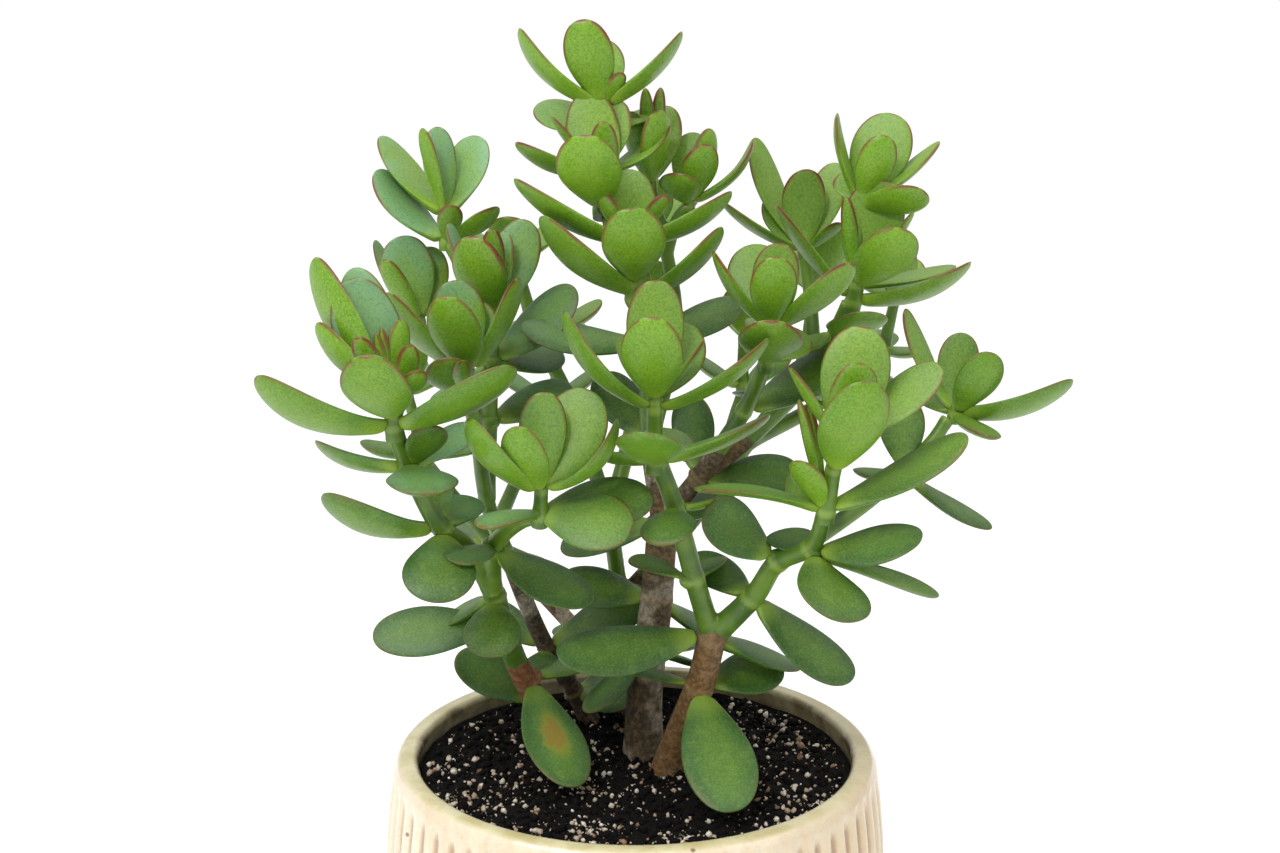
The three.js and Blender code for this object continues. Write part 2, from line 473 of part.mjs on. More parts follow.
function leafSolid(at, foot, [heading, rise, length, width, sag, turn], extra = 0) {
  const climb = THREE.MathUtils.degToRad(rise);
  const way = THREE.MathUtils.degToRad(heading);
  const flat = new THREE.Vector3(Math.cos(way), Math.sin(way), 0);
  const up = new THREE.Vector3(0, 0, 1);
  const along = flat.clone().multiplyScalar(Math.cos(climb)).addScaledVector(up, Math.sin(climb));
  const face = up.clone().multiplyScalar(Math.cos(climb)).addScaledVector(flat, -Math.sin(climb));
  face.applyAxisAngle(along, THREE.MathUtils.degToRad(turn));
  const across = face.clone().cross(along);
  const thickness = Math.min(0.22 * width, THICKEST) * LEAF_SCALE;
  const blade = new THREE.SphereGeometry(1, 4, 4);
  const placed = mapVertices(blade, (x, y, z) => {
    const share = (1 - y) / 2;
    const ring = Math.hypot(x, z);
    const side = ring > 1e-3 ? x / ring : 0;
    const lift = ring > 1e-3 ? z / ring : 0;
    const faceShare = lift > 0 ? FACE_SHARE : 1 - FACE_SHARE;
    const depth = faceShare * thickness * bladeThickness(share) + extra;
    const drop = sag * LEAF_SCALE * 4 * share * (1 - share);
    return at
      .clone()
      .addScaledVector(along, foot + (length * LEAF_SCALE - foot + extra) * share)
      .addScaledVector(across, side * (width * LEAF_SCALE * bladeWidth(share) + extra))
      .addScaledVector(face, lift * depth - drop);
  });
  return solidOf(placed);
}

// The collar is a ball at a lone joint, or a sleeve from a cluster's lowest joint to its highest.
// Its height follows the spacing of the joints, and its radius the girth of the stems.
function collarSolid(spots, radius, extra = 0) {
  const reach = radius * PLANT_SCALE;
  if (spots.length === 1) {
    const ball = new THREE.SphereGeometry(1, SIDES, 4).rotateX(Math.PI / 2);
    ball.scale(radius * STEM_SCALE + extra, radius * STEM_SCALE + extra, reach + extra);
    return solidOf(ball.translate(spots[0].x, spots[0].y, spots[0].z));
  }
  const ends = [spots[0].clone(), spots[spots.length - 1].clone()];
  ends[0].z -= reach / 2;
  ends[1].z += reach;
  return tubeSolid([ends[0], ...spots.slice(1, -1), ends[1]], [radius, radius], spots.length, extra);
}

function clusterSolid({ girth, joints }, extra = 0) {
  const spots = joints.map((joint) => abovePot(joint.at));
  const foot = girth * STEM_SCALE * FOOT_SHARE;
  const blades = joints.flatMap(({ leaves }, index) =>
    leaves.map((leaf) => leafSolid(spots[index], foot, leaf, extra)));
  return union([collarSolid(spots, girth, extra), ...blades]);
}

// ---- Materials ----
const looks = {
  glaze: () => new THREE.MeshStandardMaterial({ color: 0xd9ccb0, roughness: 0.25, metalness: 0 }),
  mix: () => new THREE.MeshStandardMaterial({ color: 0x1d1713, roughness: 1, metalness: 0 }),
  bark: () => new THREE.MeshStandardMaterial({ color: 0x6f8a3a, roughness: 0.7, metalness: 0 }),
  leaf: () => new THREE.MeshStandardMaterial({ color: 0x4f8a2b, roughness: 0.4, metalness: 0 }),
};

function meshOf(name, solid, material) {
  const { vertProperties, triVerts } = solid.getMesh();
  const geometry = new THREE.BufferGeometry();
  geometry.setAttribute("position", new THREE.BufferAttribute(vertProperties, 3));
  geometry.setIndex(new THREE.BufferAttribute(triVerts, 1));
  const mesh = new THREE.Mesh(geometry, material);
  mesh.name = name;
  return mesh;
}

// ---- Assembly ----
const plant = new THREE.Group();
const taken = []; // room already used, each solid grown by the gap

const grownTrunks = Object.values(trunks).map((limbs) => trunkSolid(limbs, GAP));
plant.add(meshOf("pot", potSolid(), looks.glaze()));
plant.add(meshOf("potting_mix", clearOf(mixSolid(), grownTrunks), looks.mix()));

Object.entries(trunks).forEach(([name, limbs], index) => {
  const earlier = grownTrunks.slice(0, index);
  plant.add(meshOf(name, clearOf(trunkSolid(limbs), earlier), looks.bark()));
});

taken.push(...grownTrunks, potSolid(GAP), mixSolid(GAP));
for (const [name, cluster] of Object.entries(clusters)) {
  plant.add(meshOf(name, clearOf(clusterSolid(cluster), taken), looks.leaf()));
  taken.push(clusterSolid(cluster, GAP));
}

export default plant;
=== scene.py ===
# A potted jade plant: ribbed glazed pot, potting mix, woody and green stems, fleshy leaves.
import functools
import math
import random

import bmesh
import bpy
import numpy as np
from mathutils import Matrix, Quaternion, Vector, kdtree


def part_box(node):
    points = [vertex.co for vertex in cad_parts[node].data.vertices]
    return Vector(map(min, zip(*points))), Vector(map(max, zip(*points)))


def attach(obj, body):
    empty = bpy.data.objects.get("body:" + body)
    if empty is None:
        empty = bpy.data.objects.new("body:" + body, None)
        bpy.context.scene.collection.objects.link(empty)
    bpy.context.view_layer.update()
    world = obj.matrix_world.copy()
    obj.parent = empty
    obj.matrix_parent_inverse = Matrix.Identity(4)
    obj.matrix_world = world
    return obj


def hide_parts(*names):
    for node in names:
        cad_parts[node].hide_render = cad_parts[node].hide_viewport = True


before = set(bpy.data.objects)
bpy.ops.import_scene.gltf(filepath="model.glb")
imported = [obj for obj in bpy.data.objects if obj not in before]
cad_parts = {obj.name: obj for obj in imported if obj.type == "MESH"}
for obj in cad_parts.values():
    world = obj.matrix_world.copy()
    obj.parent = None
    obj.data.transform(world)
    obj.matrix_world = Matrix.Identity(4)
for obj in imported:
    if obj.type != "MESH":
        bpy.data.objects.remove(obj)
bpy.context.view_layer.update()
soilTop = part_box("potting_mix")[1].z
millimetre = 0.001


# helpers for modelling
def objectMode():
    if bpy.context.mode != "OBJECT":
        bpy.ops.object.mode_set(mode="OBJECT")


def selectOnly(*pieces):  # with none given, it clears the selection
    objectMode()
    bpy.ops.object.select_all(action="DESELECT")
    for piece in pieces:
        piece.select_set(True)
    if pieces:
        bpy.context.view_layer.objects.active = pieces[0]


def pick(piece, test):  # selects the vertices that pass the test, in edit mode
    bpy.ops.mesh.select_mode(type="VERT")
    shape = bmesh.from_edit_mesh(piece.data)
    for vertex in shape.verts:
        vertex.select = test(vertex.co)
    shape.select_flush_mode()
    shape.select_flush(True)
    bmesh.update_edit_mesh(piece.data)


def extrude(rise):
    bpy.ops.mesh.extrude_region_move(TRANSFORM_OT_translate={"value": (0, 0, rise)})


def widen(grow, height):  # about the upright axis, at a height
    bpy.ops.transform.resize(value=(grow, grow, 1), center_override=(0, 0, height))


def faceOutwards():  # every face of the mesh in edit mode, which it then leaves
    bpy.ops.mesh.select_all(action="SELECT")
    bpy.ops.mesh.normals_make_consistent(inside=False)
    objectMode()


def applied(piece, kind, **settings):  # adds a modifier, sets it and applies it
    selectOnly(piece)
    modifier = piece.modifiers.new(kind.lower(), kind)
    for key, value in settings.items():
        setattr(modifier, key, value)
    bpy.ops.object.modifier_apply(modifier=modifier.name)


def joined(pieces):
    selectOnly(*pieces)
    if len(pieces) > 1:
        bpy.ops.object.join()
    return bpy.context.view_layer.objects.active


def linked(name, data):  # a new object in the scene
    piece = bpy.data.objects.new(name, data)
    bpy.context.scene.collection.objects.link(piece)
    return piece


def coat(piece, material):
    piece.data.materials.clear()
    piece.data.materials.append(material)


def triples(items, key):  # one row of three for each item
    flat = np.empty(len(items) * 3, np.float32)
    items.foreach_get(key, flat)
    return flat.reshape(-1, 3)


def writeValues(mesh, name, rows):  # a value or a triple on each vertex
    rows = np.asarray(rows, np.float32)
    kind, key = ("FLOAT", "value") if rows.ndim == 1 else ("FLOAT_VECTOR", "vector")
    layer = mesh.attributes.get(name) or mesh.attributes.new(name, kind, "POINT")
    layer.data.foreach_set(key, rows.ravel())


def finished(piece, name, slot, *nodes):  # smooths and names a piece, and ties it to the frame
    selectOnly(piece)
    bpy.ops.object.shade_smooth()
    bpy.ops.object.transform_apply(location=True, rotation=True, scale=True)
    piece.name = name
    piece.data.name = name
    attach(piece, "root")
    if nodes:
        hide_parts(*nodes)
    return piece


def smoothStep(value, low, high):
    share = np.clip((value - low) / (high - low), 0, 1)
    return share * share * (3 - 2 * share)


# helpers for materials
class Wire:  # one socket, with the arithmetic of Math nodes
    def __init__(self, board, socket):
        self.board = board
        self.socket = socket

    def maths(self, operation, first, second):
        return self.board.add("ShaderNodeMath", {0: first, 1: second}, operation=operation)

    def __add__(self, other):
        return self.maths("ADD", self, other)

    def __sub__(self, other):
        return self.maths("SUBTRACT", self, other)

    def __mul__(self, other):
        return self.maths("MULTIPLY", self, other)

    def __rsub__(self, other):
        return self.maths("SUBTRACT", other, self)

    __radd__ = __add__

    def step(self, low, high):  # rises smoothly from 0 at low to 1 at high
        sockets = {0: self, 1: low, 2: high}
        return self.board.add("ShaderNodeMapRange", sockets, interpolation_type="SMOOTHSTEP")


class Board:  # the node board of one material
    def __init__(self, name):
        self.material = bpy.data.materials.new(name)
        self.material.use_nodes = True
        self.tree = self.material.node_tree
        self.tree.nodes.clear()
        self.place = self.add("ShaderNodeTexCoord", {}, "Object")

    def add(self, kind, sockets, output=0, **settings):
        node = self.tree.nodes.new(kind)
        for key, value in settings.items():
            setattr(node, key, value)
        for key, value in sockets.items():
            self.feed(node.inputs[key], value)
        return Wire(self, node.outputs[output])

    def feed(self, socket, value):
        if isinstance(value, Wire):
            self.tree.links.new(value.socket, socket)
        elif socket.type == "RGBA":
            socket.default_value = (*value, 1)
        else:
            socket.default_value = value

    def split(self, source):  # x, y and z
        node = self.add("ShaderNodeSeparateXYZ", {0: source}).socket.node
        return [Wire(self, socket) for socket in node.outputs]

    def triple(self, name):  # the three values of a vertex attribute
        return self.split(self.add("ShaderNodeAttribute", {}, "Vector", attribute_name=name))

    def noise(self, scale, detail, roughness=0.5, place=None):
        return self.add("ShaderNodeTexNoise", {
            "Vector": place or self.place, "Scale": scale, "Detail": detail, "Roughness": roughness})

    def dots(self, scale):  # distance to scattered points, in cells
        return self.add("ShaderNodeTexVoronoi", {"Vector": self.place, "Scale": scale})

    def mix(self, factor, *colours):  # from the first colour to the second
        first, second = [colour if isinstance(colour, Wire) else ink(*colour) for colour in colours]
        return self.add("ShaderNodeMix", {0: factor, 6: first, 7: second}, 2, data_type="RGBA")

    def layers(self, colour, *layers):  # each layer is how much of it covers, and its colour
        for factor, over in layers:
            colour = self.mix(factor, colour, over)
        return colour

    def bump(self, height, distance, strength):
        return self.add("ShaderNodeBump", {"Height": height, "Distance": distance, "Strength": strength})

    def finish(self, **sockets):  # the shader's own sockets, by name with spaces left out
        shader = self.tree.nodes.new("ShaderNodeBsdfPrincipled")
        names = {socket.name.replace(" ", ""): socket for socket in shader.inputs}
        for key, value in sockets.items():
            self.feed(names[key], value)
        output = self.tree.nodes.new("ShaderNodeOutputMaterial")
        self.tree.links.new(shader.outputs[0], output.inputs["Surface"])
        return self.material


def ink(red, green, blue):  # a screen colour, 0 to 255, as the renderer's linear one
    shares = [part / 255 for part in (red, green, blue)]
    return tuple(s / 12.92 if s <= 0.04045 else ((s + 0.055) / 1.055) ** 2.4 for s in shares)


# the pot, in metres; all colours are screen colours
pot = {
    "ribs": 64,
    "perRib": 10,  # vertices round one rib
    "ribDepth": 0.0017,
    "ribSharpness": 1.7,
    "ribEnds": (0.006, 0.013, 0.131, 0.1362),  # ribs fade in and out between these heights
    "wall": 0.0075,
    "floor": 0.009,
    "height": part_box("pot")[1].z,
    "belly": 0.0815,
    "bellyHeight": 0.095,
    "rim": 0.0775,
    "foot": 0.061,
    "footRound": 0.0035,
    "lipRound": 0.0032,
    "mouthRound": 0.7,  # the lip's inner edge, as a share of the outer one
    "lipTurns": 6,
    "wallRings": (44, 16),  # outside and inside
    "cream": ((222, 212, 190), (212, 196, 168)),
    "streak": (196, 172, 138),
    "toasted": (192, 164, 118),  # the right side: a browner glaze, and painted shade because the light comes from the left
    "pooled": (162, 128, 92),  # glaze that ran into the grooves
    "lip": ((206, 198, 156), (186, 174, 122)),
    # the lip's right side: browner glaze and painted shade
    "lipToasted": (176, 152, 104),
    "stained": ((176, 164, 128), (118, 102, 76)),  # the inside of the wall, darker and mottled
    "grit": (170, 150, 118),
    "speck": (96, 62, 36),
}


def outerRadius(height):
    if height < pot["bellyHeight"]:
        rise = math.sin(height / pot["bellyHeight"] * math.pi / 2)
        return pot["foot"] + (pot["belly"] - pot["foot"]) * rise
    above = (height - pot["bellyHeight"]) / (pot["height"] - pot["bellyHeight"])
    return pot["belly"] + (pot["rim"] - pot["belly"]) * above * above


def potProfile():  # (radius, height) from the foot, up the outside, over the lip and down inside
    top, lip, foot, wall = pot["height"], pot["lipRound"], pot["footRound"], pot["wall"]
    quarter = [math.pi / 2 * k / pot["lipTurns"] for k in range(pot["lipTurns"] + 1)]
    under = [(outerRadius(0) - foot * (1 - math.sin(a)), foot * (1 - math.cos(a))) for a in quarter[:-1]]
    outside = [(outerRadius(h), h) for h in np.linspace(foot, top - lip, pot["wallRings"][0])]
    over = [(pot["rim"] - lip * (1 - math.cos(a)), top - lip * (1 - math.sin(a))) for a in quarter[1:]]
    mouth = pot["rim"] - wall
    inner = lip * pot["mouthRound"]
    back = [(mouth + inner * (1 - math.sin(a)), top - inner * (1 - math.cos(a))) for a in quarter]
    down = np.linspace(top - inner, pot["floor"], pot["wallRings"][1])[1:]
    return under + outside + over + back + [(outerRadius(h) - wall, h) for h in down]


def buildPot():
    profile = potProfile()
    selectOnly()
    around = pot["ribs"] * pot["perRib"]
    bpy.ops.mesh.primitive_circle_add(vertices=around, radius=profile[0][0], fill_type="NOTHING")
    piece = bpy.context.object
    bpy.ops.object.mode_set(mode="EDIT")
    bpy.ops.mesh.select_all(action="SELECT")
    for (radius, height), (nextRadius, nextHeight) in zip(profile, profile[1:]):
        extrude(nextHeight - height)
        widen(nextRadius / radius, nextHeight)
    near = 1e-5
    for radius, height in (profile[-1], profile[0]):  # close the floor and the underside
        pick(piece, lambda co: abs(co.z - height) < near and math.hypot(co.x, co.y) < radius + near)
        bpy.ops.mesh.edge_face_add()
        bpy.ops.mesh.inset(thickness=radius * 0.5)
        bpy.ops.mesh.inset(thickness=radius * 0.3)
    faceOutwards()
    pressRibs(piece)
    coat(piece, glazeMaterial())
    finished(piece, "glazed_pot", "glaze", "pot")


def pressRibs(piece):  # grooves between the ribs, through a weighted displace
    across, deep, height = triples(piece.data.vertices, "co").T
    radius = np.hypot(across, deep)
    outside = np.array([r > outerRadius(max(h, 0)) - pot["wall"] / 2 for r, h in zip(radius, height)])
    low, lowFull, highFull, high = pot["ribEnds"]
    fade = smoothStep(height, low, lowFull) * (1 - smoothStep(height, highFull, high))
    wave = 0.5 + 0.5 * np.cos(np.arctan2(deep, across) * pot["ribs"])
    groove = wave ** pot["ribSharpness"] * fade * outside
    group = piece.vertex_groups.new(name="grooves")
    for index in np.nonzero(groove > 0.001)[0]:
        group.add([int(index)], float(groove[index]), "REPLACE")
    applied(piece, "DISPLACE", strength=-pot["ribDepth"], mid_level=0.0, vertex_group="grooves")
    rimTop = smoothStep(height, pot["height"] - 0.0035, pot["height"] - 0.001)
    rimTop *= 1 - smoothStep(radius, pot["rim"] - 0.0022, pot["rim"] - 0.0006)
    mouth = pot["rim"] - pot["wall"]
    inside = smoothStep(mouth + 0.0016 - radius, 0, 0.001) * (1 - outside)
    writeValues(piece.data, "potPlace", np.stack([groove, rimTop, inside], axis=1))


def glazeMaterial():
    board = Board("creamGlaze")
    groove, rimTop, inside = board.triple("potPlace")
    cloud = board.noise(28, 3)
    patch = board.noise(85, 4, 0.6)
    grain = board.noise(780, 3, 0.65)
    upright = board.add("ShaderNodeMapping", {"Vector": board.place, "Scale": (170, 170, 14)})
    streak = board.noise(1, 4, 0.6, upright)
    # darker and browner towards the right: partly the glaze, partly painted shade
    toasted = (board.split(board.place)[0] + (cloud - 0.5) * 0.06).step(-0.005, 0.08)
    pooled = (groove + (streak - 0.5) * 0.6 + (patch - 0.5) * 0.3).step(0.35, 0.95)
    lip = board.mix(patch.step(0.35, 0.65), *pot["lip"])
    lip = board.mix(toasted * 0.4, lip, pot["lipToasted"])
    speck = (1 - board.dots(120).step(0.05, 0.12)) * board.noise(40, 1).step(0.52, 0.58)
    colour = board.layers(
        board.mix(cloud.step(0.35, 0.7), *pot["cream"]),
        (streak.step(0.42, 0.78) * 0.5, pot["streak"]),
        (toasted * 0.55, pot["toasted"]),
        (pooled * 0.8, pot["pooled"]),
        (rimTop * 0.9, lip),
        (inside * 0.95, board.mix(patch.step(0.38, 0.62), *pot["stained"])),
        (grain.step(0.5, 0.78) * 0.3, pot["grit"]),
        (speck * 0.8, pot["speck"]))
    ripple = board.noise(60, 3, 0.55) + grain * 0.09
    return board.finish(
        BaseColor=colour, Roughness=0.13 + grain * 0.12 + pooled * 0.15, IOR=1.5, CoatWeight=0.5,
        CoatRoughness=0.05, Normal=board.bump(ripple, 0.0022, 0.6))


# the potting mix
mix = {
    "radius": outerRadius(soilTop) - pot["wall"] - 0.0011,
    "rings": 46,
    "around": 120,
    "skirt": 0.014,  # how far the sides go down
    "drop": 0.0012,  # how far the bed lies below its level before the lumps rise
    "calmEdge": 0.004,  # lumps are lower this near the wall
    "lumps": ((0.011, 0.0030), (0.0042, 0.0019), (0.0017, 0.0010)),  # (size, height) of each layer
    "peat_crumbs": (4200, 0.0004, 0.0021, 0.2),  # how many, least and most size, how proud they lie
    "perlite_grains": (2300, 0.00022, 0.0014, 0.35),
    "bark_chips": (170, 0.0005, 0.002, 0.4),
    "mostlySmall": 3.2,
    "bare": 0.0015,  # no grains this near the wall
    "patches": 26,  # clumps that half of the perlite gathers in
    "patchSpread": (0.005, 0.004),
    "above": 0.05,  # grains fall from here
    "peat": ((11, 10, 10), (36, 29, 25), (16, 13, 12)),
    "perlite": ((208, 198, 182), (160, 138, 114), (104, 84, 66)),
    "chip": ((150, 118, 86), (82, 56, 38)),
}


def buildMix():
    selectOnly()
    step = mix["radius"] / mix["rings"]
    bpy.ops.mesh.primitive_circle_add(
        vertices=mix["around"], radius=step, location=(0, 0, soilTop - mix["drop"]), fill_type="TRIFAN")
    piece = bpy.context.object
    bpy.ops.object.transform_apply(location=True)
    bpy.ops.object.mode_set(mode="EDIT")
    for ring in range(1, mix["rings"] + 1):
        edge = (ring - 0.1) * step
        pick(piece, lambda co: math.hypot(co.x, co.y) > edge)
        if ring < mix["rings"]:
            extrude(0)
            widen((ring + 1) / ring, soilTop)
    extrude(-mix["skirt"])
    bpy.ops.mesh.edge_face_add()
    faceOutwards()
    group = piece.vertex_groups.new(name="surface")
    for vertex in piece.data.vertices:
        if vertex.co.z > soilTop - mix["skirt"] / 2:
            edge = (mix["radius"] - math.hypot(vertex.co.x, vertex.co.y)) / mix["calmEdge"]
            group.add([vertex.index], min(1.0, 0.35 + 0.65 * edge), "REPLACE")
    for number, (size, height) in enumerate(mix["lumps"]):
        texture = bpy.data.textures.new(f"lumps{number}", "CLOUDS")
        texture.noise_scale = size
        texture.noise_depth = 2
        applied(piece, "DISPLACE", texture=texture, texture_coords="LOCAL", direction="Z",
                strength=height, mid_level=0.5, vertex_group="surface")
    coat(piece, peatMaterial())
    return finished(piece, "potting_mix_bed", "potting_mix", "potting_mix")


def grainShape(draw, flatness):  # one rough pebble, as rows of vertices and faces
    selectOnly()
    bpy.ops.mesh.primitive_ico_sphere_add(subdivisions=1, radius=1)
    pebble = bpy.context.object
    rows = triples(pebble.data.vertices, "co")
    faces = [tuple(face.vertices) for face in pebble.data.polygons]
    bumps = np.array([draw.uniform(0.6, 1.15) for _ in rows])
    rows = rows * bumps[:, None] * np.array([1, draw.uniform(0.7, 1), flatness])
    bpy.data.objects.remove(pebble)
    return rows, faces


def spotAbove(draw, reach):  # a place over the bed, as likely here as there
    distance, way = reach * math.sqrt(draw.random()), draw.uniform(0, 2 * math.pi)
    return Vector((distance * math.cos(way), distance * math.sin(way), soilTop + mix["above"]))


def scatterGrains(bed, name, material, shapes, draw, patches=()):
    count, least, most, proud = mix[name]
    corner, face, reach = [], [], mix["radius"] - mix["bare"]
    for number in range(count):
        rows, faces = shapes[draw.randrange(len(shapes))]
        size = least + (most - least) * draw.random() ** mix["mostlySmall"]
        spot = spotAbove(draw, reach - size)
        if patches and number % 2:
            near = patches[draw.randrange(len(patches))]
            spot = near + Vector([draw.gauss(0, spread) for spread in mix["patchSpread"]] + [0])
            if spot.xy.length > reach - size:
                continue
        _, where, _, _ = bed.ray_cast(spot, Vector((0, 0, -1)))
        turn = Quaternion([draw.gauss(0, 1) for _ in range(4)]).normalized().to_matrix()
        placed = rows * size @ np.array(turn).T + np.array(where) + np.array([0, 0, size * proud])
        face += [tuple(index + len(corner) for index in item) for item in faces]
        corner += placed.tolist()
    mesh = bpy.data.meshes.new(name)
    mesh.from_pydata(corner, [], face)
    piece = linked(name, mesh)
    coat(piece, material)
    finished(piece, name, "potting_mix")


def buildGrains(bed):
    draw = random.Random(11)
    crumbs, pebbles, flakes = [
        [grainShape(draw, flatness) for _ in range(count)]
        for count, flatness in ((5, 0.8), (8, 0.8), (4, 0.45))]
    scatterGrains(bed, "peat_crumbs", peatMaterial(), crumbs, draw)
    patches = [spotAbove(draw, mix["radius"]) for _ in range(mix["patches"])]
    scatterGrains(bed, "perlite_grains", perliteMaterial(), pebbles, draw, patches)
    scatterGrains(bed, "bark_chips", chipMaterial(), flakes, draw)


def peatMaterial():
    board = Board("peat")
    fine = board.noise(1100, 4, 0.7)
    dark, light, damp = mix["peat"]
    colour = board.mix(fine.step(0.45, 0.8), dark, light)
    colour = board.mix(board.noise(90, 3).step(0.4, 0.7) * 0.5, colour, damp)
    return board.finish(
        BaseColor=colour, Roughness=1.0 - fine * 0.15, SpecularIORLevel=0.12,
        Normal=board.bump(fine, 0.0006, 0.9))


def perliteMaterial():
    board = Board("perlite")
    fine = board.noise(1500, 3)
    white, dusty, pit = mix["perlite"]
    colour = board.mix(board.noise(170, 1).step(0.4, 0.6), white, dusty)
    colour = board.mix(fine.step(0.5, 0.75) * 0.7, colour, pit)
    return board.finish(
        BaseColor=colour, Roughness=0.85 - fine * 0.1, Normal=board.bump(fine, 0.0003, 0.8))


def chipMaterial():
    board = Board("barkChip")
    patch = board.noise(220, 2)
    colour = board.mix(patch.step(0.35, 0.65), *mix["chip"])
    return board.finish(BaseColor=colour, Roughness=0.85 - patch * 0.1, Normal=board.bump(patch, 0.0004, 0.7))


# trunks and branches: girth at both ends, then the way up; millimetres, heights above the mix
trunks = {
    "front_trunk": [
        ((4.9, 4.6), [(10, -3, -4), (15, -8, 15), (21, -14, 34), (24, -18, 50)]),
        ((3.5, 2.8), [(24, -18, 50), (18, -24, 72), (12, -30, 96), (7, -34, 111)]),
        ((4, 2.4), [(24, -18, 50), (37, -24, 66), (43, -30, 78), (53, -38, 86), (56, -43, 98)]),
        ((3, 2.2), [(43, -30, 78), (60, -20, 86), (74, -10, 93), (84, -4, 100), (93, 0, 108),
         (98, 2, 115)]),
    ],
    "main_trunk": [
        ((6.4, 5), [(3, 11, -4), (3, 14, 16), (7, 18, 50), (9, 20, 76)]),
        ((3.8, 2.2), [(9, 20, 76), (5, 16, 104), (4, 4, 143), (3, -10, 158), (-1, -12, 174),
         (-9, -7, 183)]),
        ((3.2, 2.4), [(9, 20, 76), (20, 14, 92), (34, 0, 118), (40, -14, 137)]),
        ((3.2, 2.2), [(20, 14, 92), (40, 20, 107), (57, 16, 127), (67, 12, 150)]),
        ((2.6, 2), [(57, 16, 127), (56, 24, 148), (54, 28, 162)]),
        ((2.8, 2), [(5, 16, 104), (13, 24, 139), (10, 24, 164), (5, 21, 184)]),
        ((2.2, 1.8), [(10, 24, 164), (14, 22, 176), (17, 22, 179)]),
    ],
    "left_trunk": [
        ((4.4, 2.6), [(-26, 15, -4), (-33, 10, 18), (-39, 2, 36), (-45, -10, 63), (-52, -20, 80),
         (-59, -28, 89), (-67, -36, 110), (-70, -42, 122)]),
        ((3.2, 2.4), [(-45, -10, 63), (-43, -20, 80), (-34, -36, 93), (-28, -44, 97)]),
    ],
    "grey_trunk": [
        ((3.4, 2.3), [(-15, 39, -4), (-21, 36, 11), (-30, 30, 29), (-41, 14, 65), (-47, 4, 88),
         (-49, -6, 113), (-51, -12, 125)]),
        ((2.8, 2.2), [(-47, 4, 88), (-46, 10, 112), (-45, 8, 132), (-44, 4, 145)]),
        ((2.6, 2), [(-46, 10, 112), (-59, 22, 126), (-68, 26, 139)]),
        ((2.6, 2), [(-45, 8, 132), (-52, 22, 152), (-59, 26, 166)]),
    ],
    "rear_trunk": [
        ((4.6, 3.8), [(0, 44, -10), (-2, 50, 5), (-4, 52, 23), (-5, 50, 38)]),
        ((3, 2.4), [(-5, 50, 38), (-9, 44, 69), (-17, 44, 97), (-25, 46, 117), (-32, 48, 129)]),
        ((3, 2.4), [(-9, 44, 69), (-2, 56, 94), (2, 62, 117), (3, 60, 132)]),
        ((3.2, 2.4), [(-5, 50, 38), (19, 46, 68), (38, 42, 97), (52, 44, 117), (57, 46, 126)]),
        ((3.2, 2.4), [(-2, 50, 5), (-27, 66, 29), (-51, 72, 53), (-68, 66, 77), (-72, 62, 84)]),
        ((2.8, 2.2), [(38, 42, 97), (59, 60, 103), (78, 72, 113), (83, 75, 118)]),
        ((2.8, 2.2), [(-51, 72, 53), (-41, 92, 73), (-33, 98, 90), (-30, 98, 94)]),
        ((2.8, 2.2), [(19, 46, 68), (30, 76, 81), (36, 90, 96), (38, 92, 101)]),
    ],
}


stems = {
    "wood": {  # height above the mix where bark gives way to green, greyness of the bark (darker, and on the inner trunks partly painted shade), redness
        "front_trunk": (53, 0.15, 0.3),
        "main_trunk": (104, 0.8, 0.1),
        "left_trunk": (34, 0.1, 1.0),
        "grey_trunk": (60, 1.0, 0.2),
        "rear_trunk": (48, 0.7, 0.2),
    },
    "change": 3,  # half the height over which bark turns green
    "rings": {"bark": 8.5, "green": 31.0},  # spacing of the old leaf scars
    "apart": (0.37, 311),  # moves the scars and the cracks on from limb to limb, so that no two match
    "ringWidth": 0.9,
    "ringShow": 0.4,  # how strongly an old scar shows, against 1 at a joint with leaves
    "jointReach": 4,  # a limb this near a joint swells there
    "jointSpread": {"bark": 1.3, "green": 2.0},
    "swell": (0.018, 0.08, 0.04),  # at an old scar, at a joint, and what bark takes off the last
    "buried": 9,  # how far a trunk goes down into the mix
    "flare": (0.16, 7),  # widening where it enters the mix, and over what height
    "fork": (0.12, 4),  # widening where a branch leaves, and over what length
    "step": 0.8,  # spacing of the points along a limb
    "dense": 24,  # points between two given ones, before they are spaced evenly
    "voxel": 0.00056,
    "green": ((92, 124, 30), (60, 94, 24)),
    "greenFleck": (134, 156, 74),
    "greenRing": (146, 172, 72),
    "brown": ((84, 64, 28), (130, 104, 50)),
    "ruddy": ((108, 62, 34), (150, 96, 58)),
    "dusty": ((50, 42, 32), (100, 88, 70)),
    # dark grey-brown bark, partly painted shade on the trunks inside the plant
    "pale": ((128, 118, 102), (176, 168, 152)),
    "crack": (66, 46, 28),
    "scar": (150, 128, 86),
    "fleck": (176, 158, 128),
}


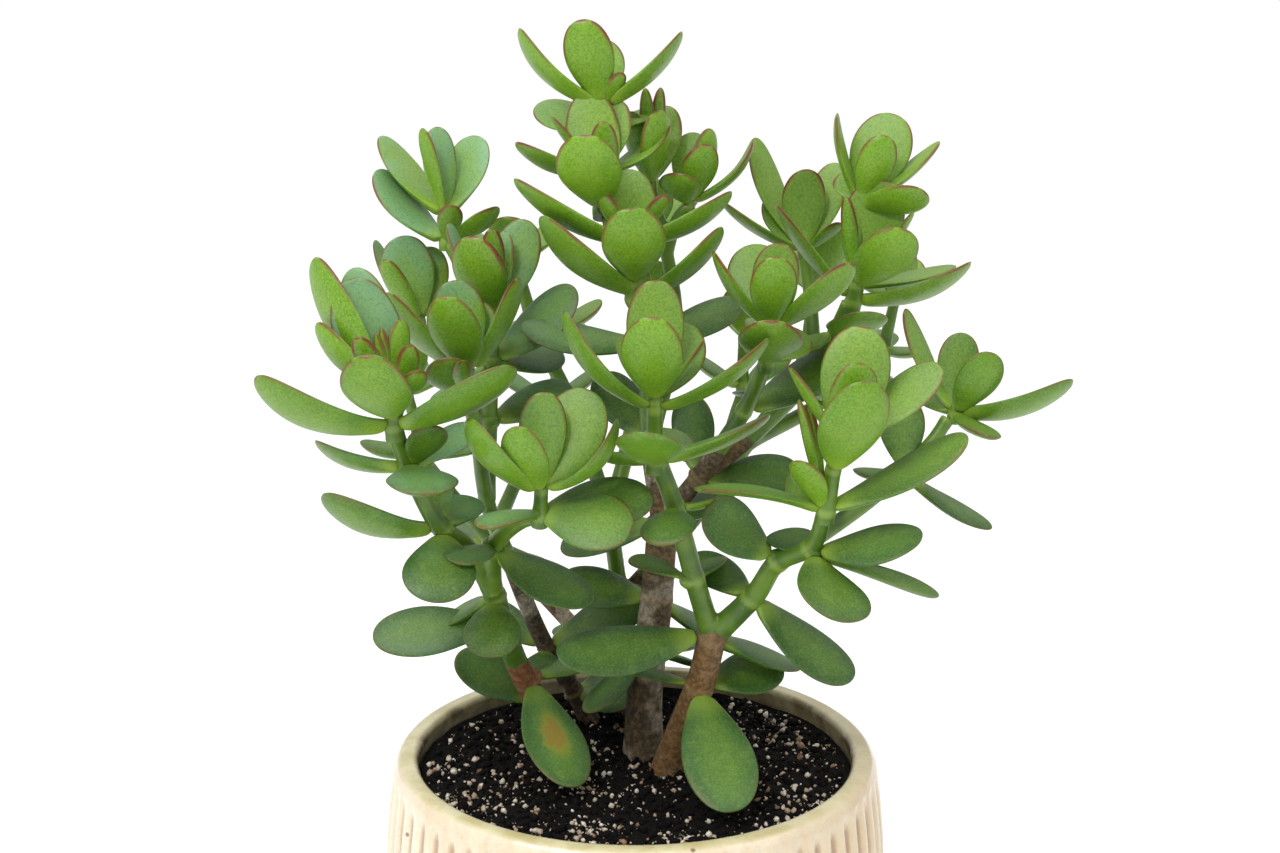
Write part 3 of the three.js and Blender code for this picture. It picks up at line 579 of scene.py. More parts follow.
def smoothWay(points, step):  # centripetal spline through the points, at an even spacing
    spots = [Vector(p) for p in points]
    spots = [spots[0] * 2 - spots[1], *spots, spots[-1] * 2 - spots[-2]]
    dense = []
    for a, b, c, d in zip(spots, spots[1:], spots[2:], spots[3:]):
        t1 = (b - a).length ** 0.5
        t2 = t1 + (c - b).length ** 0.5
        t3 = t2 + (d - c).length ** 0.5
        for t in np.linspace(t1, t2, stems["dense"], endpoint=False):
            ab = a + (b - a) * (t / t1)
            bc = b + (c - b) * ((t - t1) / (t2 - t1))
            cd = c + (d - c) * ((t - t2) / (t3 - t2))
            abc = ab + (bc - ab) * (t / t2)
            bcd = bc + (cd - bc) * ((t - t1) / (t3 - t1))
            dense.append(abc + (bcd - abc) * ((t - t1) / (t2 - t1)))
    dense.append(spots[-2])
    length = [0.0]
    for first, second in zip(dense, dense[1:]):
        length.append(length[-1] + (second - first).length)
    rows = np.array(dense)
    runs = np.linspace(0, length[-1], max(3, round(length[-1] / step)))
    return np.stack([np.interp(runs, length, rows[:, k]) for k in range(3)], axis=1), runs


def inFrame(spot):  # millimetres with heights above the mix, as metres in the frame
    x, y, z = spot
    return x * millimetre, y * millimetre, soilTop + z * millimetre


def tube(limb):  # a round tube through a limb's points
    line = bpy.data.curves.new("limb", "CURVE")
    line.dimensions = "3D"
    line.bevel_depth = millimetre
    line.bevel_resolution = 4
    line.use_fill_caps = True
    spline = line.splines.new("POLY")
    spline.points.add(len(limb["spots"]) - 1)
    for point, spot, radius in zip(spline.points, limb["spots"], limb["radius"]):
        point.co = (*inFrame(spot), 1)
        point.radius = radius
    selectOnly(linked("limb", line))
    bpy.ops.object.convert(target="MESH")
    return bpy.context.object


def skinned(piece, limb):  # gives a stem its skin, from the values at the points along it
    tree = kdtree.KDTree(len(limb["spots"]))
    for index, spot in enumerate(limb["spots"]):
        tree.insert(inFrame(spot), index)
    tree.balance()
    nearest = np.array([tree.find(vertex.co)[1] for vertex in piece.data.vertices])
    place = [limb[key][nearest] for key in ("run", "ring", "wood")]
    writeValues(piece.data, "stemPlace", np.stack(place, axis=1))
    writeValues(piece.data, "stemTone", np.tile([*limb["tone"], 0], (len(nearest), 1)))
    coat(piece, stemMaterial())
    return piece


def limbAlong(name, index, first, last, way, joints):  # points along a limb and what shows at each
    if index == 0:
        x, y, z = way[0]
        way = [(x, y, z - stems["buried"]), *way]
    spots, runs = smoothWay(way, stems["step"])
    radius = first + (last - first) * (runs / runs[-1])
    height = spots[:, 2]
    woodTop, *tone = stems["wood"][name]
    wood = 1 - smoothStep(height, woodTop - stems["change"], woodTop + stems["change"])
    spacing = np.where(wood > 0.5, stems["rings"]["bark"], stems["rings"]["green"])
    phase = np.cumsum(np.full(len(runs), runs[1] - runs[0]) / spacing) + index * stems["apart"][0]
    old = np.clip(1 - np.abs((phase % 1) - 0.5) * spacing / stems["ringWidth"], 0, 1) * stems["ringShow"]
    spread = np.where(wood > 0.5, stems["jointSpread"]["bark"], stems["jointSpread"]["green"])
    joint = np.zeros(len(runs))
    for spot in joints:
        gap = np.linalg.norm(spots - np.array(spot), axis=1)
        if gap.min() < stems["jointReach"]:
            joint = np.maximum(joint, np.exp(-((runs - runs[gap.argmin()]) / spread) ** 2))
    atScar, atJoint, lessInBark = stems["swell"]
    radius = radius * (1 + atScar * old + (atJoint - lessInBark * wood) * joint)
    grow, over = stems["fork"] if index else stems["flare"]
    radius = radius * (1 + grow * np.exp(-(runs if index else np.clip(height, 0, None)) / over))
    return {"spots": spots, "radius": radius, "run": (runs + index * stems["apart"][1]) * millimetre,
            "ring": np.maximum(old, joint), "wood": wood, "tone": tone}


def buildTrunk(name, joints):
    limbs = [limbAlong(name, index, *girths, way, joints) for index, (girths, way) in enumerate(trunks[name])]
    piece = joined([tube(limb) for limb in limbs])
    applied(piece, "REMESH", mode="VOXEL", voxel_size=stems["voxel"], use_smooth_shade=True)
    applied(piece, "SMOOTH", factor=0.5, iterations=4)
    whole = {key: np.concatenate([limb[key] for limb in limbs]) for key in ("spots", "run", "ring", "wood")}
    skinned(piece, {**whole, "tone": limbs[0]["tone"]})
    finished(piece, name + "_bark", "bark", name)
    return limbs


@functools.cache
def stemMaterial():
    board = Board("stemSkin")
    run, ring, wood = board.triple("stemPlace")
    grey, red, _ = board.triple("stemTone")
    broad = board.noise(85, 3)
    fine = board.noise(650, 4, 0.65)
    cracks = board.noise(520, 3, 0.7, board.add("ShaderNodeCombineXYZ", {0: run}))
    woody = (wood + (broad - 0.5) * 0.9 + (fine - 0.5) * 0.5).step(0.36, 0.62)
    green = board.layers(
        board.mix(broad.step(0.35, 0.7), *stems["green"]),
        (fine.step(0.55, 0.8) * 0.3, stems["greenFleck"]),
        (ring.step(0.3, 1.0) * 0.4, stems["greenRing"]))
    brown, ruddy = [board.mix(fine.step(0.35, 0.7), *stems[key]) for key in ("brown", "ruddy")]
    # dark grey-brown bark, partly painted shade on the inner trunks
    dusty = board.mix(fine.step(0.4, 0.68), *stems["dusty"])
    pale = board.mix(fine.step(0.35, 0.65), *stems["pale"])
    dusty = board.mix(broad.step(0.5, 0.62) * 0.8, dusty, pale)
    fleck = (1 - board.dots(420).step(0.1, 0.22)) * broad.step(0.5, 0.65)
    bark = board.layers(
        brown, (red, ruddy), (grey * broad.step(0.2, 0.5), dusty),
        (cracks.step(0.45, 0.75) * 0.25, stems["crack"]),
        (ring * 0.4, stems["scar"]), (fleck * 0.6, stems["fleck"]))
    height = fine * (woody * 0.8 + 0.2) + cracks * woody * 0.5
    return board.finish(
        BaseColor=board.mix(woody, green, bark), Roughness=0.42 + woody * 0.42 - fine * 0.08,
        Normal=board.bump(height, 0.0006, 0.8))


# leaf groups: girth of the stem there, then joints with their leaves; a leaf is its heading
# (0 right, 90 back), rise, length, width, sag and roll
clusters = {
    "leader_tip_leaves": (2.9, [
        ((-10, -6, 183), [(109, 69, 36, 16.5, 2, -15), (257, 51, 31, 19.5, 3, 5),
         (279, 77, 27, 9, 0.5, -5)]),
        ((-10, 2, 192), [(172, 18, 28, 14, 2.5, 25), (38, 29, 29, 12, 3, 0), (188, 49, 23, 8, 1, 15),
         (51, 70, 23, 11, 1, 30)]),
        ((-11, 5, 205), [(142, 16, 24, 17, 1.5, -15), (49, 9, 27, 12, 1.5, 0)]),
        ((-10, 8, 212), [(173, 42, 34, 17, 4, 25), (12, 41, 33, 17, 2.5, -25), (233, 69, 28, 15, 1.5, 30),
         (95, 45, 26, 16, 1.5, -5), (321, 52, 13, 6, 0.5, -25)]),
    ]),
    "leader_middle_leaves": (4.6, [
        ((3, -11, 157), [(191, 39, 40, 19, 4, 30), (5, 41, 31, 18, 2.5, -30)]),
        ((0, -12, 161), [(266, 55, 31, 19, 3, 5), (104, 76, 34, 17, 1.5, -15)]),
        ((-1, -12, 173), [(173, 28, 40, 18, 3, 30), (11, 25, 34, 18, 2.5, -30), (198, 58, 18, 7, 0.5, 35),
         (334, 53, 19, 7, 0.5, -30)]),
    ]),
    "leader_side_twig_leaves": (2.4, [
        ((5, 21, 186), [(207, 74, 24, 11, 1, 25), (62, 64, 26, 12, 1.5, 20), (213, 86, 30, 5, 0.5, 50),
         (33, 83, 30, 5, 0.5, -110), (276, 63, 27, 14, 1.5, 45)]),
    ]),
    "leader_right_twig_leaves": (2.2, [
        ((17, 22, 180), [(30, 71, 24, 12.5, 1, -75), (307, 66, 21, 12, 1.5, -20), (83, 59, 24, 13, 1, 5),
         (9, 44, 28, 13, 3.5, -15), (236, 48, 14, 13, 1, 15)]),
    ]),
    "high_left_twig_leaves": (2.5, [
        ((-60, 26, 167), [(160, 43, 32, 19, 2.5, -5), (7, 31, 20, 10, 1, -50), (288, 51, 17, 8, 0.5, -10)]),
        ((-60, 28, 175), [(140, 40, 36, 18, 2, 10), (50, 59, 28, 18, 1.5, 0), (211, 75, 29, 10, 0.5, 0),
         (123, 80, 28, 11, 0.5, -15)]),
    ]),
    "inner_left_twig_leaves": (2.7, [
        ((-44, 4, 147), [(249, 63, 31, 17, 2.5, 10), (156, 63, 32, 14, 1.5, 20), (276, 80, 29, 8, 0.5, -5),
         (25, 80, 27, 8, 0.5, 50), (38, 65, 32, 15, 1.5, 50)]),
    ]),
    "outer_left_twig_leaves": (2.5, [
        ((-69, 26, 141), [(159, 78, 28, 17, 1.5, -65), (71, 65, 25, 13, 1.5, 20), (226, 58, 26, 9, 1, 20),
         (141, 52, 31, 10, 2, 15)]),
    ]),
    "front_left_tip_leaves": (3.2, [
        ((-70, -42, 124), [(192, 23, 43, 20, 5.5, 35), (341, 29, 43, 19, 3, -30)]),
        ((-70, -43, 128), [(260, 43, 34, 20, 4.5, 5), (156, 71, 41, 20, 2, -50),
         (129, 63, 45, 16, 2, -40)]),
        ((-68, -42, 132), [(302, 68, 19, 7, 1, -20), (303, 43, 16, 9, 1, -15)]),
        ((-71, -44, 135), [(233, 55, 22, 8, 1, 30), (213, 78, 18, 3.4, 0, 40), (214, 84, 19, 3.4, 0, 45),
         (47, 75, 21, 8, 1, -100), (164, 40, 29, 12, 3, 55), (149, 54, 45, 19, 2.5, 75)]),
    ]),
    "middle_left_tip_leaves": (2.8, [
        ((-53, -13, 127), [(253, 44, 20, 14, 1.5, 15), (278, 36, 25, 6, 1, -5)]),
        ((-50, -14, 134), [(252, 56, 32, 16, 2.5, 15), (157, 79, 28, 16, 1.5, -60), (78, 63, 22, 14, 1, 10),
         (189, 46, 35, 17, 3, 25), (15, 61, 32, 16, 2, -32)]),
    ]),
    "front_low_tip_leaves": (2.9, [
        ((-28, -44, 98), [(236, 5, 27, 15, -1.5, 0), (340, -5, 29, 20, -0.5, 40),
         (17, 4, 35, 18, 0.5, 35)]),
        ((-27, -48, 106), [(245, 58, 27, 13.5, 2, 15), (75, 82, 29, 14, 1.5, 15), (41, 56, 33, 20, 2, 40),
         (0, 45, 31, 14, 5.5, -18), (191, 48, 31, 19, 3.5, 25)]),
    ]),
    "front_centre_tip_leaves": (3.3, [
        ((6, -34, 112), [(267, 26, 38, 20, 1, 0), (10, 19, 37, 19, 2, -20), (156, -4, 19, 15, 0.5, 25),
         (79, 3, 29, 18, 1.5, 15)]),
        ((6, -38, 128), [(187, 49, 40, 15, 5.5, 25), (355, 34, 40, 15, 3.5, -20)]),
        ((6, -38, 131), [(268, 59, 33, 18, 2.5, 0), (88, 77, 35, 17, 2, 0), (8, 51, 23, 10, 1, -15),
         (170, 57, 20, 8, 1, 45), (60, 43, 28, 17, 1.5, 25)]),
    ]),
    "front_centre_leaf_pair": (5, [
        ((12, -30, 96), [(261, -17, 21, 17, -1, 5), (36, -2, 14, 10, 1, -20)]),
    ]),
    "front_fork_leaf_pair": (5.2, [
        ((17, -24, 71), [(168, 14, 20, 9, -0.5, -10), (69, -1, 24, 12, 0.5, -10)]),
    ]),
    "right_centre_tip_leaves": (2.9, [
        ((40, -14, 138), [(269, 32, 33, 19, 2, 0), (58, 13, 22, 16, 1.5, 15)]),
        ((41, -20, 149), [(270, 61, 27, 14, 2, 0), (60, 79, 25, 14, 1.5, 30), (180, 53, 29, 13, 2.5, 20),
         (350, 40, 31, 17, 2, -30), (114, 56, 27, 18, 1.5, -20)]),
    ]),
    "high_right_tip_leaves": (2.9, [
        ((68, 12, 151), [(3, 17, 39, 19, 4, -25), (175, 51, 39, 13, 1.5, 25)]),
        ((69, 10, 156), [(309, 44, 29, 18, 2.5, -30), (340, 76, 34, 19, 1.5, 95), (180, 82, 28, 5, 1, 75),
         (13, 51, 29, 7, 1, -40), (31, 4, 39, 12, 1.5, 0)]),
        ((70, 12, 181), [(322, 14, 24, 15, 2, -40), (166, 74, 29, 13, 1.5, 5), (9, 38, 31, 13, 1.5, 0),
         (312, 67, 24, 12, 1.5, -35), (37, 64, 30, 19, 1.5, 35), (107, 35, 15, 12, 1, -10)]),
    ]),
    "high_right_leaf_whorl": (4.4, [
        ((63, 13, 140), [(287, 24, 30, 18, 1.5, -10), (206, -11, 19, 16, 0.5, 0),
         (31, -37, 30, 15, 1, 10)]),
    ]),
    "inner_right_twig_leaves": (2.5, [
        ((54, 28, 164), [(267, 86, 26, 14, 1.5, -175), (152, 54, 21, 14, 1.5, -30),
         (154, 63, 39, 15, 2.5, -10), (184, 31, 31, 13, 2, 10), (40, 62, 30, 12, 2, 30),
         (341, 38, 15, 8, 0.5, -25)]),
    ]),
    "front_right_tip_leaves": (3.1, [
        ((56, -43, 99), [(194, 12, 41, 14, -2.5, 0), (357, 29, 47, 17, 2, 15), (228, 53, 22, 11, 0.5, 10),
         (210, 74, 36, 4, 0, 40), (207, 79, 34, 4, 0, 45), (111, 23, 19, 14, 1, -10)]),
        ((58, -46, 112), [(290, 57, 37, 20, 3, -15)]),
        ((59, -48, 121), [(310, 72, 26, 14, 1.5, -35), (47, 71, 34, 20, 1.5, 40), (11, 35, 37, 15, 2, 25),
         (188, 57, 27, 8, 0.5, 15)]),
    ]),
    "front_right_leaf_whorl": (5.2, [
        ((53, -38, 84), [(342, 14, 34, 19, 1, 25), (292, -30, 28, 25, 0.5, -20), (6, -22, 42, 14, -1, -25),
         (115, 4, 20, 16, 0.5, -10)]),
    ]),
    "front_right_single_leaf": (5.4, [
        ((43, -30, 79), [(175, 37, 27, 21, 1.5, -30)]),
    ]),
    "far_right_tip_leaves": (2.7, [
        ((100, 2, 117), [(67, 77, 25, 13, 1, 20), (315, 59, 25, 15, 2, -30), (0, 16, 38, 18, 4, -38),
         (301, -12, 19, 15, 0.5, -15), (159, 62, 36, 11, 2, -10), (110, 16, 18, 14, 1, -10)]),
    ]),
    "far_right_leaf_whorl": (4.2, [
        ((84, -4, 99), [(4, -32, 34, 14, 1.5, 10), (97, 71, 25, 15, 1, -5), (201, 7, 17, 13, 0.5, 0)]),
    ]),
    "left_trunk_leaf_whorl_5": (4.6, [
        ((-67, -36, 110), [(164, 10, 30, 17, 2.5, 30), (288, -2, 27, 21, -0.5, 0),
         (327, 52, 18, 13, 0.5, -25), (41, 19, 26, 12, 0.5, 20)]),
    ]),
    "left_trunk_leaf_whorl_4": (5.6, [
        ((-58, -27, 88), [(186, 18, 38, 20, 4.5, 35), (267, -37, 27, 22, -0.5, 0), (68, 14, 20, 14, 0.5, 5),
         (121, 58, 18, 12, 0.5, -15)]),
    ]),
    "left_trunk_leaf_pair_3": (5.4, [
        ((-44, -20, 80), [(339, -23, 36, 20, 1.5, 15), (248, 5, 24, 16, -1, 0)]),
    ]),
    "left_trunk_leaf_whorl_2": (5.8, [
        ((-42, -4, 49), [(178, -6, 42, 18, 0.5, -40)]),
        ((-44, -8, 60), [(269, -42, 22, 18, -1, 0), (141, -30, 26, 14, 0.5, -20)]),
    ]),
    "left_trunk_leaf_whorl_1": (6.6, [
        ((-31, 11, 16), [(170, 28, 32, 16, 0, -40)]),
        ((-34, 8, 26), [(290, -26, 47, 21, 0.5, -5), (32, 7, 27, 12, 1, 10)]),
    ]),
    "front_trunk_leaf_pair_2": (7.8, [
        ((23, -18, 51), [(197, -2, 49, 19, 2.5, -35), (25, -26, 36, 16, 1, 15)]),
    ]),
    "front_right_leaf_pair": (5.4, [
        ((36, -23, 65), [(342, -36, 40, 20, 2, 15), (124, 10, 32, 16, 1, -10)]),
    ]),
    "front_trunk_leaf_whorl_1": (7.8, [
        ((20, -13, 32), [(284, -34, 47, 23, 0.5, 0), (20, 6, 29, 18, 1, 25), (187, 18, 33, 9, 0.5, -10)]),
    ]),
    "grey_trunk_leaf_whorl_2": (4.8, [
        ((-30, 30, 29), [(3, 28, 39, 20, 1.5, 30), (261, -32, 12, 13, 0, 0), (155, 23, 31, 16, 0.5, -20)]),
    ]),
    "grey_trunk_leaf_pair_1": (5, [
        ((-21, 36, 10), [(343, -1, 21, 16, 0.5, 20), (32, 8, 27, 14, 0.5, 15)]),
    ]),
    "main_trunk_leaf_pair_2": (8.4, [
        ((7, 18, 50), [(169, 8, 33, 18, 1, -25), (28, -35, 42, 16, 1, 25)]),
    ]),
    "main_trunk_leaf_pair_1": (9, [
        ((5, 16, 33), [(209, -35, 30, 13, 0, -10), (52, -26, 31, 12, 0, 5)]),
    ]),
    "main_trunk_leaf_pair_3": (7.8, [
        ((9, 20, 76), [(342, 31, 31, 18, 1.5, 25), (164, -18, 37, 18, 1, -30)]),
    ]),
    "leader_lower_leaf_pair": (5.4, [
        ((5, 16, 104), [(144, 44, 28, 17, 1.5, -25), (36, -15, 36, 17, 2, 30)]),
    ]),
    "leader_upper_leaf_pair": (5.2, [
        ((4, 6, 138), [(183, 9, 40, 19, 2, -20), (22, 20, 34, 18, 1.5, 20)]),
    ]),
    "right_branch_leaf_pair": (5, [
        ((20, 14, 92), [(0, 4, 33, 18, 1, 30), (98, 56, 29, 14, 1, -5)]),
    ]),
    "right_branch_single_leaf": (4.6, [
        ((34, 0, 118), [(13, 27, 39, 20, 2, 20)]),
    ]),
    "inner_left_leaf_whorl_2": (4.2, [
        ((-45, 8, 132), [(13, 40, 35, 18, 1.5, 30), (41, -1, 28, 17, 1, 25), (186, -32, 23, 14, 1, 0)]),
    ]),
    "inner_left_leaf_whorl_1": (4.4, [
        ((-46, 10, 112), [(29, 17, 30, 17, 1, 25), (155, -20, 25, 14, 1, 0)]),
    ]),
    "rear_left_tip_leaves": (2.8, [
        ((-32, 48, 132), [(158, 10, 22, 17, 1.5, 0), (16, 26, 24, 17, 1.5, 0)]),
        ((-40, 46, 157), [(158, 25, 23, 17, 1.5, 0), (27, 39, 23, 17, 1.5, 0), (98, 7, 31, 17, 2, -5),
         (273, 50, 22, 16, 1, -5)]),
    ]),
    "rear_centre_tip_leaves": (2.8, [
        ((3, 60, 135), [(84, 10, 35, 18, 1.5, 5), (277, 55, 28, 17, 1.5, -5)]),
        ((3, 62, 162), [(161, 46, 27, 17, 1.5, 0), (18, 42, 27, 17, 1.5, 0), (93, 32, 31, 17, 2, 0),
         (281, 65, 24, 16, 1, -10)]),
    ]),
    "rear_right_tip_leaves": (2.8, [
        ((57, 46, 129), [(139, 13, 25, 16, 1, 0), (28, 8, 22, 16, 1, 0)]),
        ((59, 48, 147), [(95, 21, 32, 17, 2, -5), (293, 69, 25, 16, 1, -20), (40, 33, 26, 16, 1.5, 0)]),
    ]),
    "rear_far_left_tip_leaves": (2.8, [
        ((-72, 62, 87), [(161, 7, 24, 17, 1, 0), (33, 9, 26, 17, 1.5, 0)]),
        ((-78, 60, 109), [(99, 11, 37, 18, 2, -5), (277, 63, 31, 16, 1.5, -5), (148, 35, 28, 17, 1.5, 0),
         (36, 30, 28, 17, 1.5, 0)]),
    ]),
    "rear_left_leaf_pair": (4.6, [
        ((-51, 72, 53), [(132, -1, 35, 18, 1, 0), (48, -27, 30, 17, 1, 0)]),
    ]),
    "rear_far_right_tip_leaves": (2.7, [
        ((85, 76, 121), [(92, 4, 24, 17, 1, 0), (330, 2, 16, 15, 0.5, 0)]),
        ((90, 78, 138), [(153, 36, 22, 16, 1.5, 0), (23, 25, 22, 15, 1.5, 0), (76, 29, 24, 16, 1.5, 5),
         (251, 69, 24, 15, 1, 15)]),
    ]),
    "rear_trunk_leaf_pair_2": (6.6, [
        ((-4, 52, 23), [(132, -6, 35, 18, 1.5, 0), (42, -14, 37, 18, 1.5, 0)]),
    ]),
    "rear_trunk_leaf_pair_1": (6.6, [
        ((-5, 50, 38), [(81, -14, 44, 19, 1.5, 0), (255, 35, 30, 15, 1, 0)]),
    ]),
    "rear_outer_left_tip_leaves": (2.6, [
        ((-30, 98, 97), [(174, 30, 22, 17, 1, 0), (13, 34, 22, 17, 1, 0)]),
        ((-27, 100, 115), [(86, 24, 20, 17, 1, 0), (263, 65, 24, 16, 1, 5), (144, 23, 22, 14, 1, 0)]),
    ]),
    "rear_outer_right_tip_leaves": (2.6, [
        ((38, 92, 104), [(174, 32, 22, 17, 1, 0), (19, 33, 21, 17, 1, 0)]),
        ((38, 94, 122), [(80, 18, 21, 17, 1, 5), (263, 68, 21, 15, 1, 5), (33, 28, 21, 14, 1, 0)]),
    ]),
    "rear_right_leaf_pair": (4.4, [
        ((52, 44, 117), [(47, -19, 29, 17, 1.5, 0), (123, -18, 30, 17, 1.5, 0)]),
    ]),
}


leaf = {
    "rings": (0.03, 0.12, 0.26, 0.42, 0.57, 0.71, 0.84, 0.94),  # places of the rings along the blade
    "round": 8,  # vertices round one ring
    "widest": 0.59,
    "foot": 0.24,  # width of the foot as a share of the widest
    "face": 0.35,  # share of the thickness on the flatter upper face
    "thick": 0.25,  # thickness as a share of the width
    "thickness": (2.0, 5.4),  # least and most, millimetres
    "young": 12.5,  # narrower leaves are young
    "cup": (0.05, 2.2, 0.3, 1.6),  # how far edges turn up; times this when young, else from this to this
    "bow": 0.03,  # most sideways bend, as a share of the width
    "roll": 0.14,  # most twist from foot to tip, radians
    "wave": 0.35,  # most unevenness of the face, millimetres
    "footIn": 0.45,  # where a foot starts, as a share of the collar
    "crease": 0.45,
    "fine": 2,  # subdivision steps
    "full": (1.02, 1.05),  # makes up for what the subdivision takes off length and width
    "youngest": 205,  # height above the mix where leaves are youngest
    # added to a leaf's age; the share for the inner groups is painted shade
    "older": {"trunk": 0.12, "inner": 0.25, "young": -0.25, "higherJoint": -0.12, "chance": 0.08},
    "inner": ("main", "grey", "rear_trunk", "rear_left_leaf", "rear_right_leaf", "inner_left_leaf",
              "right_branch", "leader_lower", "leader_upper"),  # groups in the plant's own shade, painted darker as if older
    "spotted": ("left_trunk_leaf_whorl_1", 290),  # the leaf with a yellow-brown blotch
    "under": ((108, 152, 26), (58, 98, 20)),  # young, old
    "underPatch": (82, 132, 26),
    "upper": ((112, 148, 36), (44, 78, 20)),
    "bloom": (120, 166, 132),  # the bluish wax, with a painted sheen of reflected sky
    "deep": (70, 112, 26),
    # painted highlight: a lighter middle, away from the leaf's edges
    "heart": (122, 158, 38),
    "mottle": (140, 168, 70),
    "grain": ((146, 172, 60), (38, 70, 14)),  # light and dark
    # painted shade: darker towards the edges of older leaves
    "shade": (30, 66, 22),
    "footColour": (150, 178, 62),
    "flush": (128, 110, 54),
    "margin": (108, 44, 34),
    "speck": (160, 184, 116),
    "blotch": (158, 150, 48),
    "dry": (132, 98, 44),
}


def bladeWidth(share):  # half the width at a share of the length, for a blade one wide
    share = np.asarray(share, float)
    foot = leaf["foot"] + (1 - leaf["foot"]) * np.sin(
        np.pi / 2 * np.minimum(1, share / leaf["widest"])) ** 1.05
    past = np.clip((share - leaf["widest"]) / (1 - leaf["widest"]), 0, 1)
    return foot * np.sqrt(1 - past ** 2) / 2


def bladeThickness(share):
    past = np.clip((np.asarray(share, float) - 0.5) / 0.5, 0, 1)
    return np.sqrt(1 - past ** 2.2)


def makeBlade():  # one leaf, a unit long, wide and thick, from foot to tip along X
    selectOnly()
    count, near, away = len(leaf["rings"]), 1e-4, 10
    bpy.ops.mesh.primitive_uv_sphere_add(segments=leaf["round"], ring_count=count + 1, radius=0.5)
    piece = bpy.context.object
    bpy.ops.object.mode_set(mode="EDIT")
    bpy.ops.transform.rotate(value=math.pi / 2, orient_axis="Y", center_override=(0, 0, 0))
    for number, share in reversed(list(enumerate(leaf["rings"], 1))):  # each ring goes away once it is done
        turn = math.pi * number / (count + 1)
        there, radius = -0.5 * math.cos(turn), 0.5 * math.sin(turn)
        pick(piece, lambda co: abs(co.x - there) < near)
        wide, thick = float(bladeWidth(share)) / radius, 0.5 * float(bladeThickness(share)) / radius
        bpy.ops.transform.resize(value=(1, wide, thick), center_override=(there, 0, 0))
        bpy.ops.transform.translate(value=(share + away - there, 0, 0))
    for test in (lambda co: 0 < co.x < 1, lambda co: co.x < 0):  # the tip, then the foot
        pick(piece, test)
        bpy.ops.transform.translate(value=(away + 0.5, 0, 0))
    bpy.ops.mesh.select_all(action="SELECT")
    bpy.ops.transform.translate(value=(-away, 0, 0))
    for side, share in ((1, leaf["face"]), (-1, 1 - leaf["face"])):
        pick(piece, lambda co: co.z * side > near)
        bpy.ops.transform.resize(value=(1, 1, 2 * share), center_override=(0, 0, 0))
    pick(piece, lambda co: abs(co.z) < near)
    bpy.ops.transform.edge_crease(value=leaf["crease"])
    faceOutwards()
    rows = triples(piece.data.vertices, "co")
    side = np.clip(rows[:, 1] / np.maximum(bladeWidth(rows[:, 0]), near), -1, 1)
    side[(rows[:, 0] < 1e-3) | (rows[:, 0] > 1 - 1e-3)] = 0
    lift = np.sign(np.round(rows[:, 2], 4)) * np.sqrt(1 - side ** 2)
    writeValues(piece.data, "leafPlace", np.stack([rows[:, 0], side, lift], 1))
    return piece


def leafAxes(heading, rise, turn):
    way, climb = math.radians(heading), math.radians(rise)
    flat = Vector((math.cos(way), math.sin(way), 0))
    up = Vector((0, 0, 1))
    along = flat * math.cos(climb) + up * math.sin(climb)
    face = up * math.cos(climb) - flat * math.sin(climb)
    face.rotate(Quaternion(along, math.radians(turn)))
    return np.array(along), np.array(face.cross(along)), np.array(face)


def placeLeaf(blade, at, foot, row, ageAndShade, spot, draw):  # a copy of the blade, bent and put in its place
    heading, rise, length, width, sag, turn = row
    along, across, face = leafAxes(heading, rise, turn)
    mesh = blade.data.copy()
    share, side, lift = triples(mesh.vertices, "co").T
    least, most = leaf["thickness"]
    thickness = min(max(leaf["thick"] * width, least), most)
    turnedUp, whenYoung, low, high = leaf["cup"]
    cup = turnedUp * (whenYoung if width < leaf["young"] else draw.uniform(low, high)) * width
    bow, roll, wave = [draw.uniform(-most, most) for most in (leaf["bow"], leaf["roll"], leaf["wave"])]
    middle = side * width * leaf["full"][1]
    over = lift * thickness + cup * (2 * side) ** 2 * 0.5
    over = over + wave * np.sin(share * 7 + side * 3) * share - sag * 4 * share * (1 - share)
    angle = roll * share
    wide = middle * np.cos(angle) - over * np.sin(angle) + bow * width * 4 * share * (1 - share)
    tall = middle * np.sin(angle) + over * np.cos(angle)
    reach = foot + (length * leaf["full"][0] - foot) * share
    rows = at[None, :] + reach[:, None] * along + wide[:, None] * across + tall[:, None] * face
    rows = rows * millimetre + np.array([0, 0, soilTop])
    mesh.vertices.foreach_set("co", np.asarray(rows, np.float32).ravel())
    mesh.update()
    for name, values in (("leafKind", [ageAndShade, draw.random(), spot]), ("leafSize", [length - foot, width, 0])):
        writeValues(mesh, name, np.tile(values, (len(mesh.vertices), 1)))
    return linked("leaf", mesh)


collar = {  # the stem that the leaves of a group stand on
    "points": 9,
    "half": (2.4, 0.9),  # half the height of a ring round a limb, and what bark takes off it
    "proud": 1.02,  # of the limb
    "tip": 0.92,  # girth of a tip's own stem, as a share of the girth in the rows
    "past": (1.4, 1.1),  # how far it goes below and above its joints, as shares of its girth
    "taper": 0.35,
    "swell": 0.12,
    "step": 0.7,
    "skinStep": 0.0008,  # spacing of the skin's pattern, metres
}


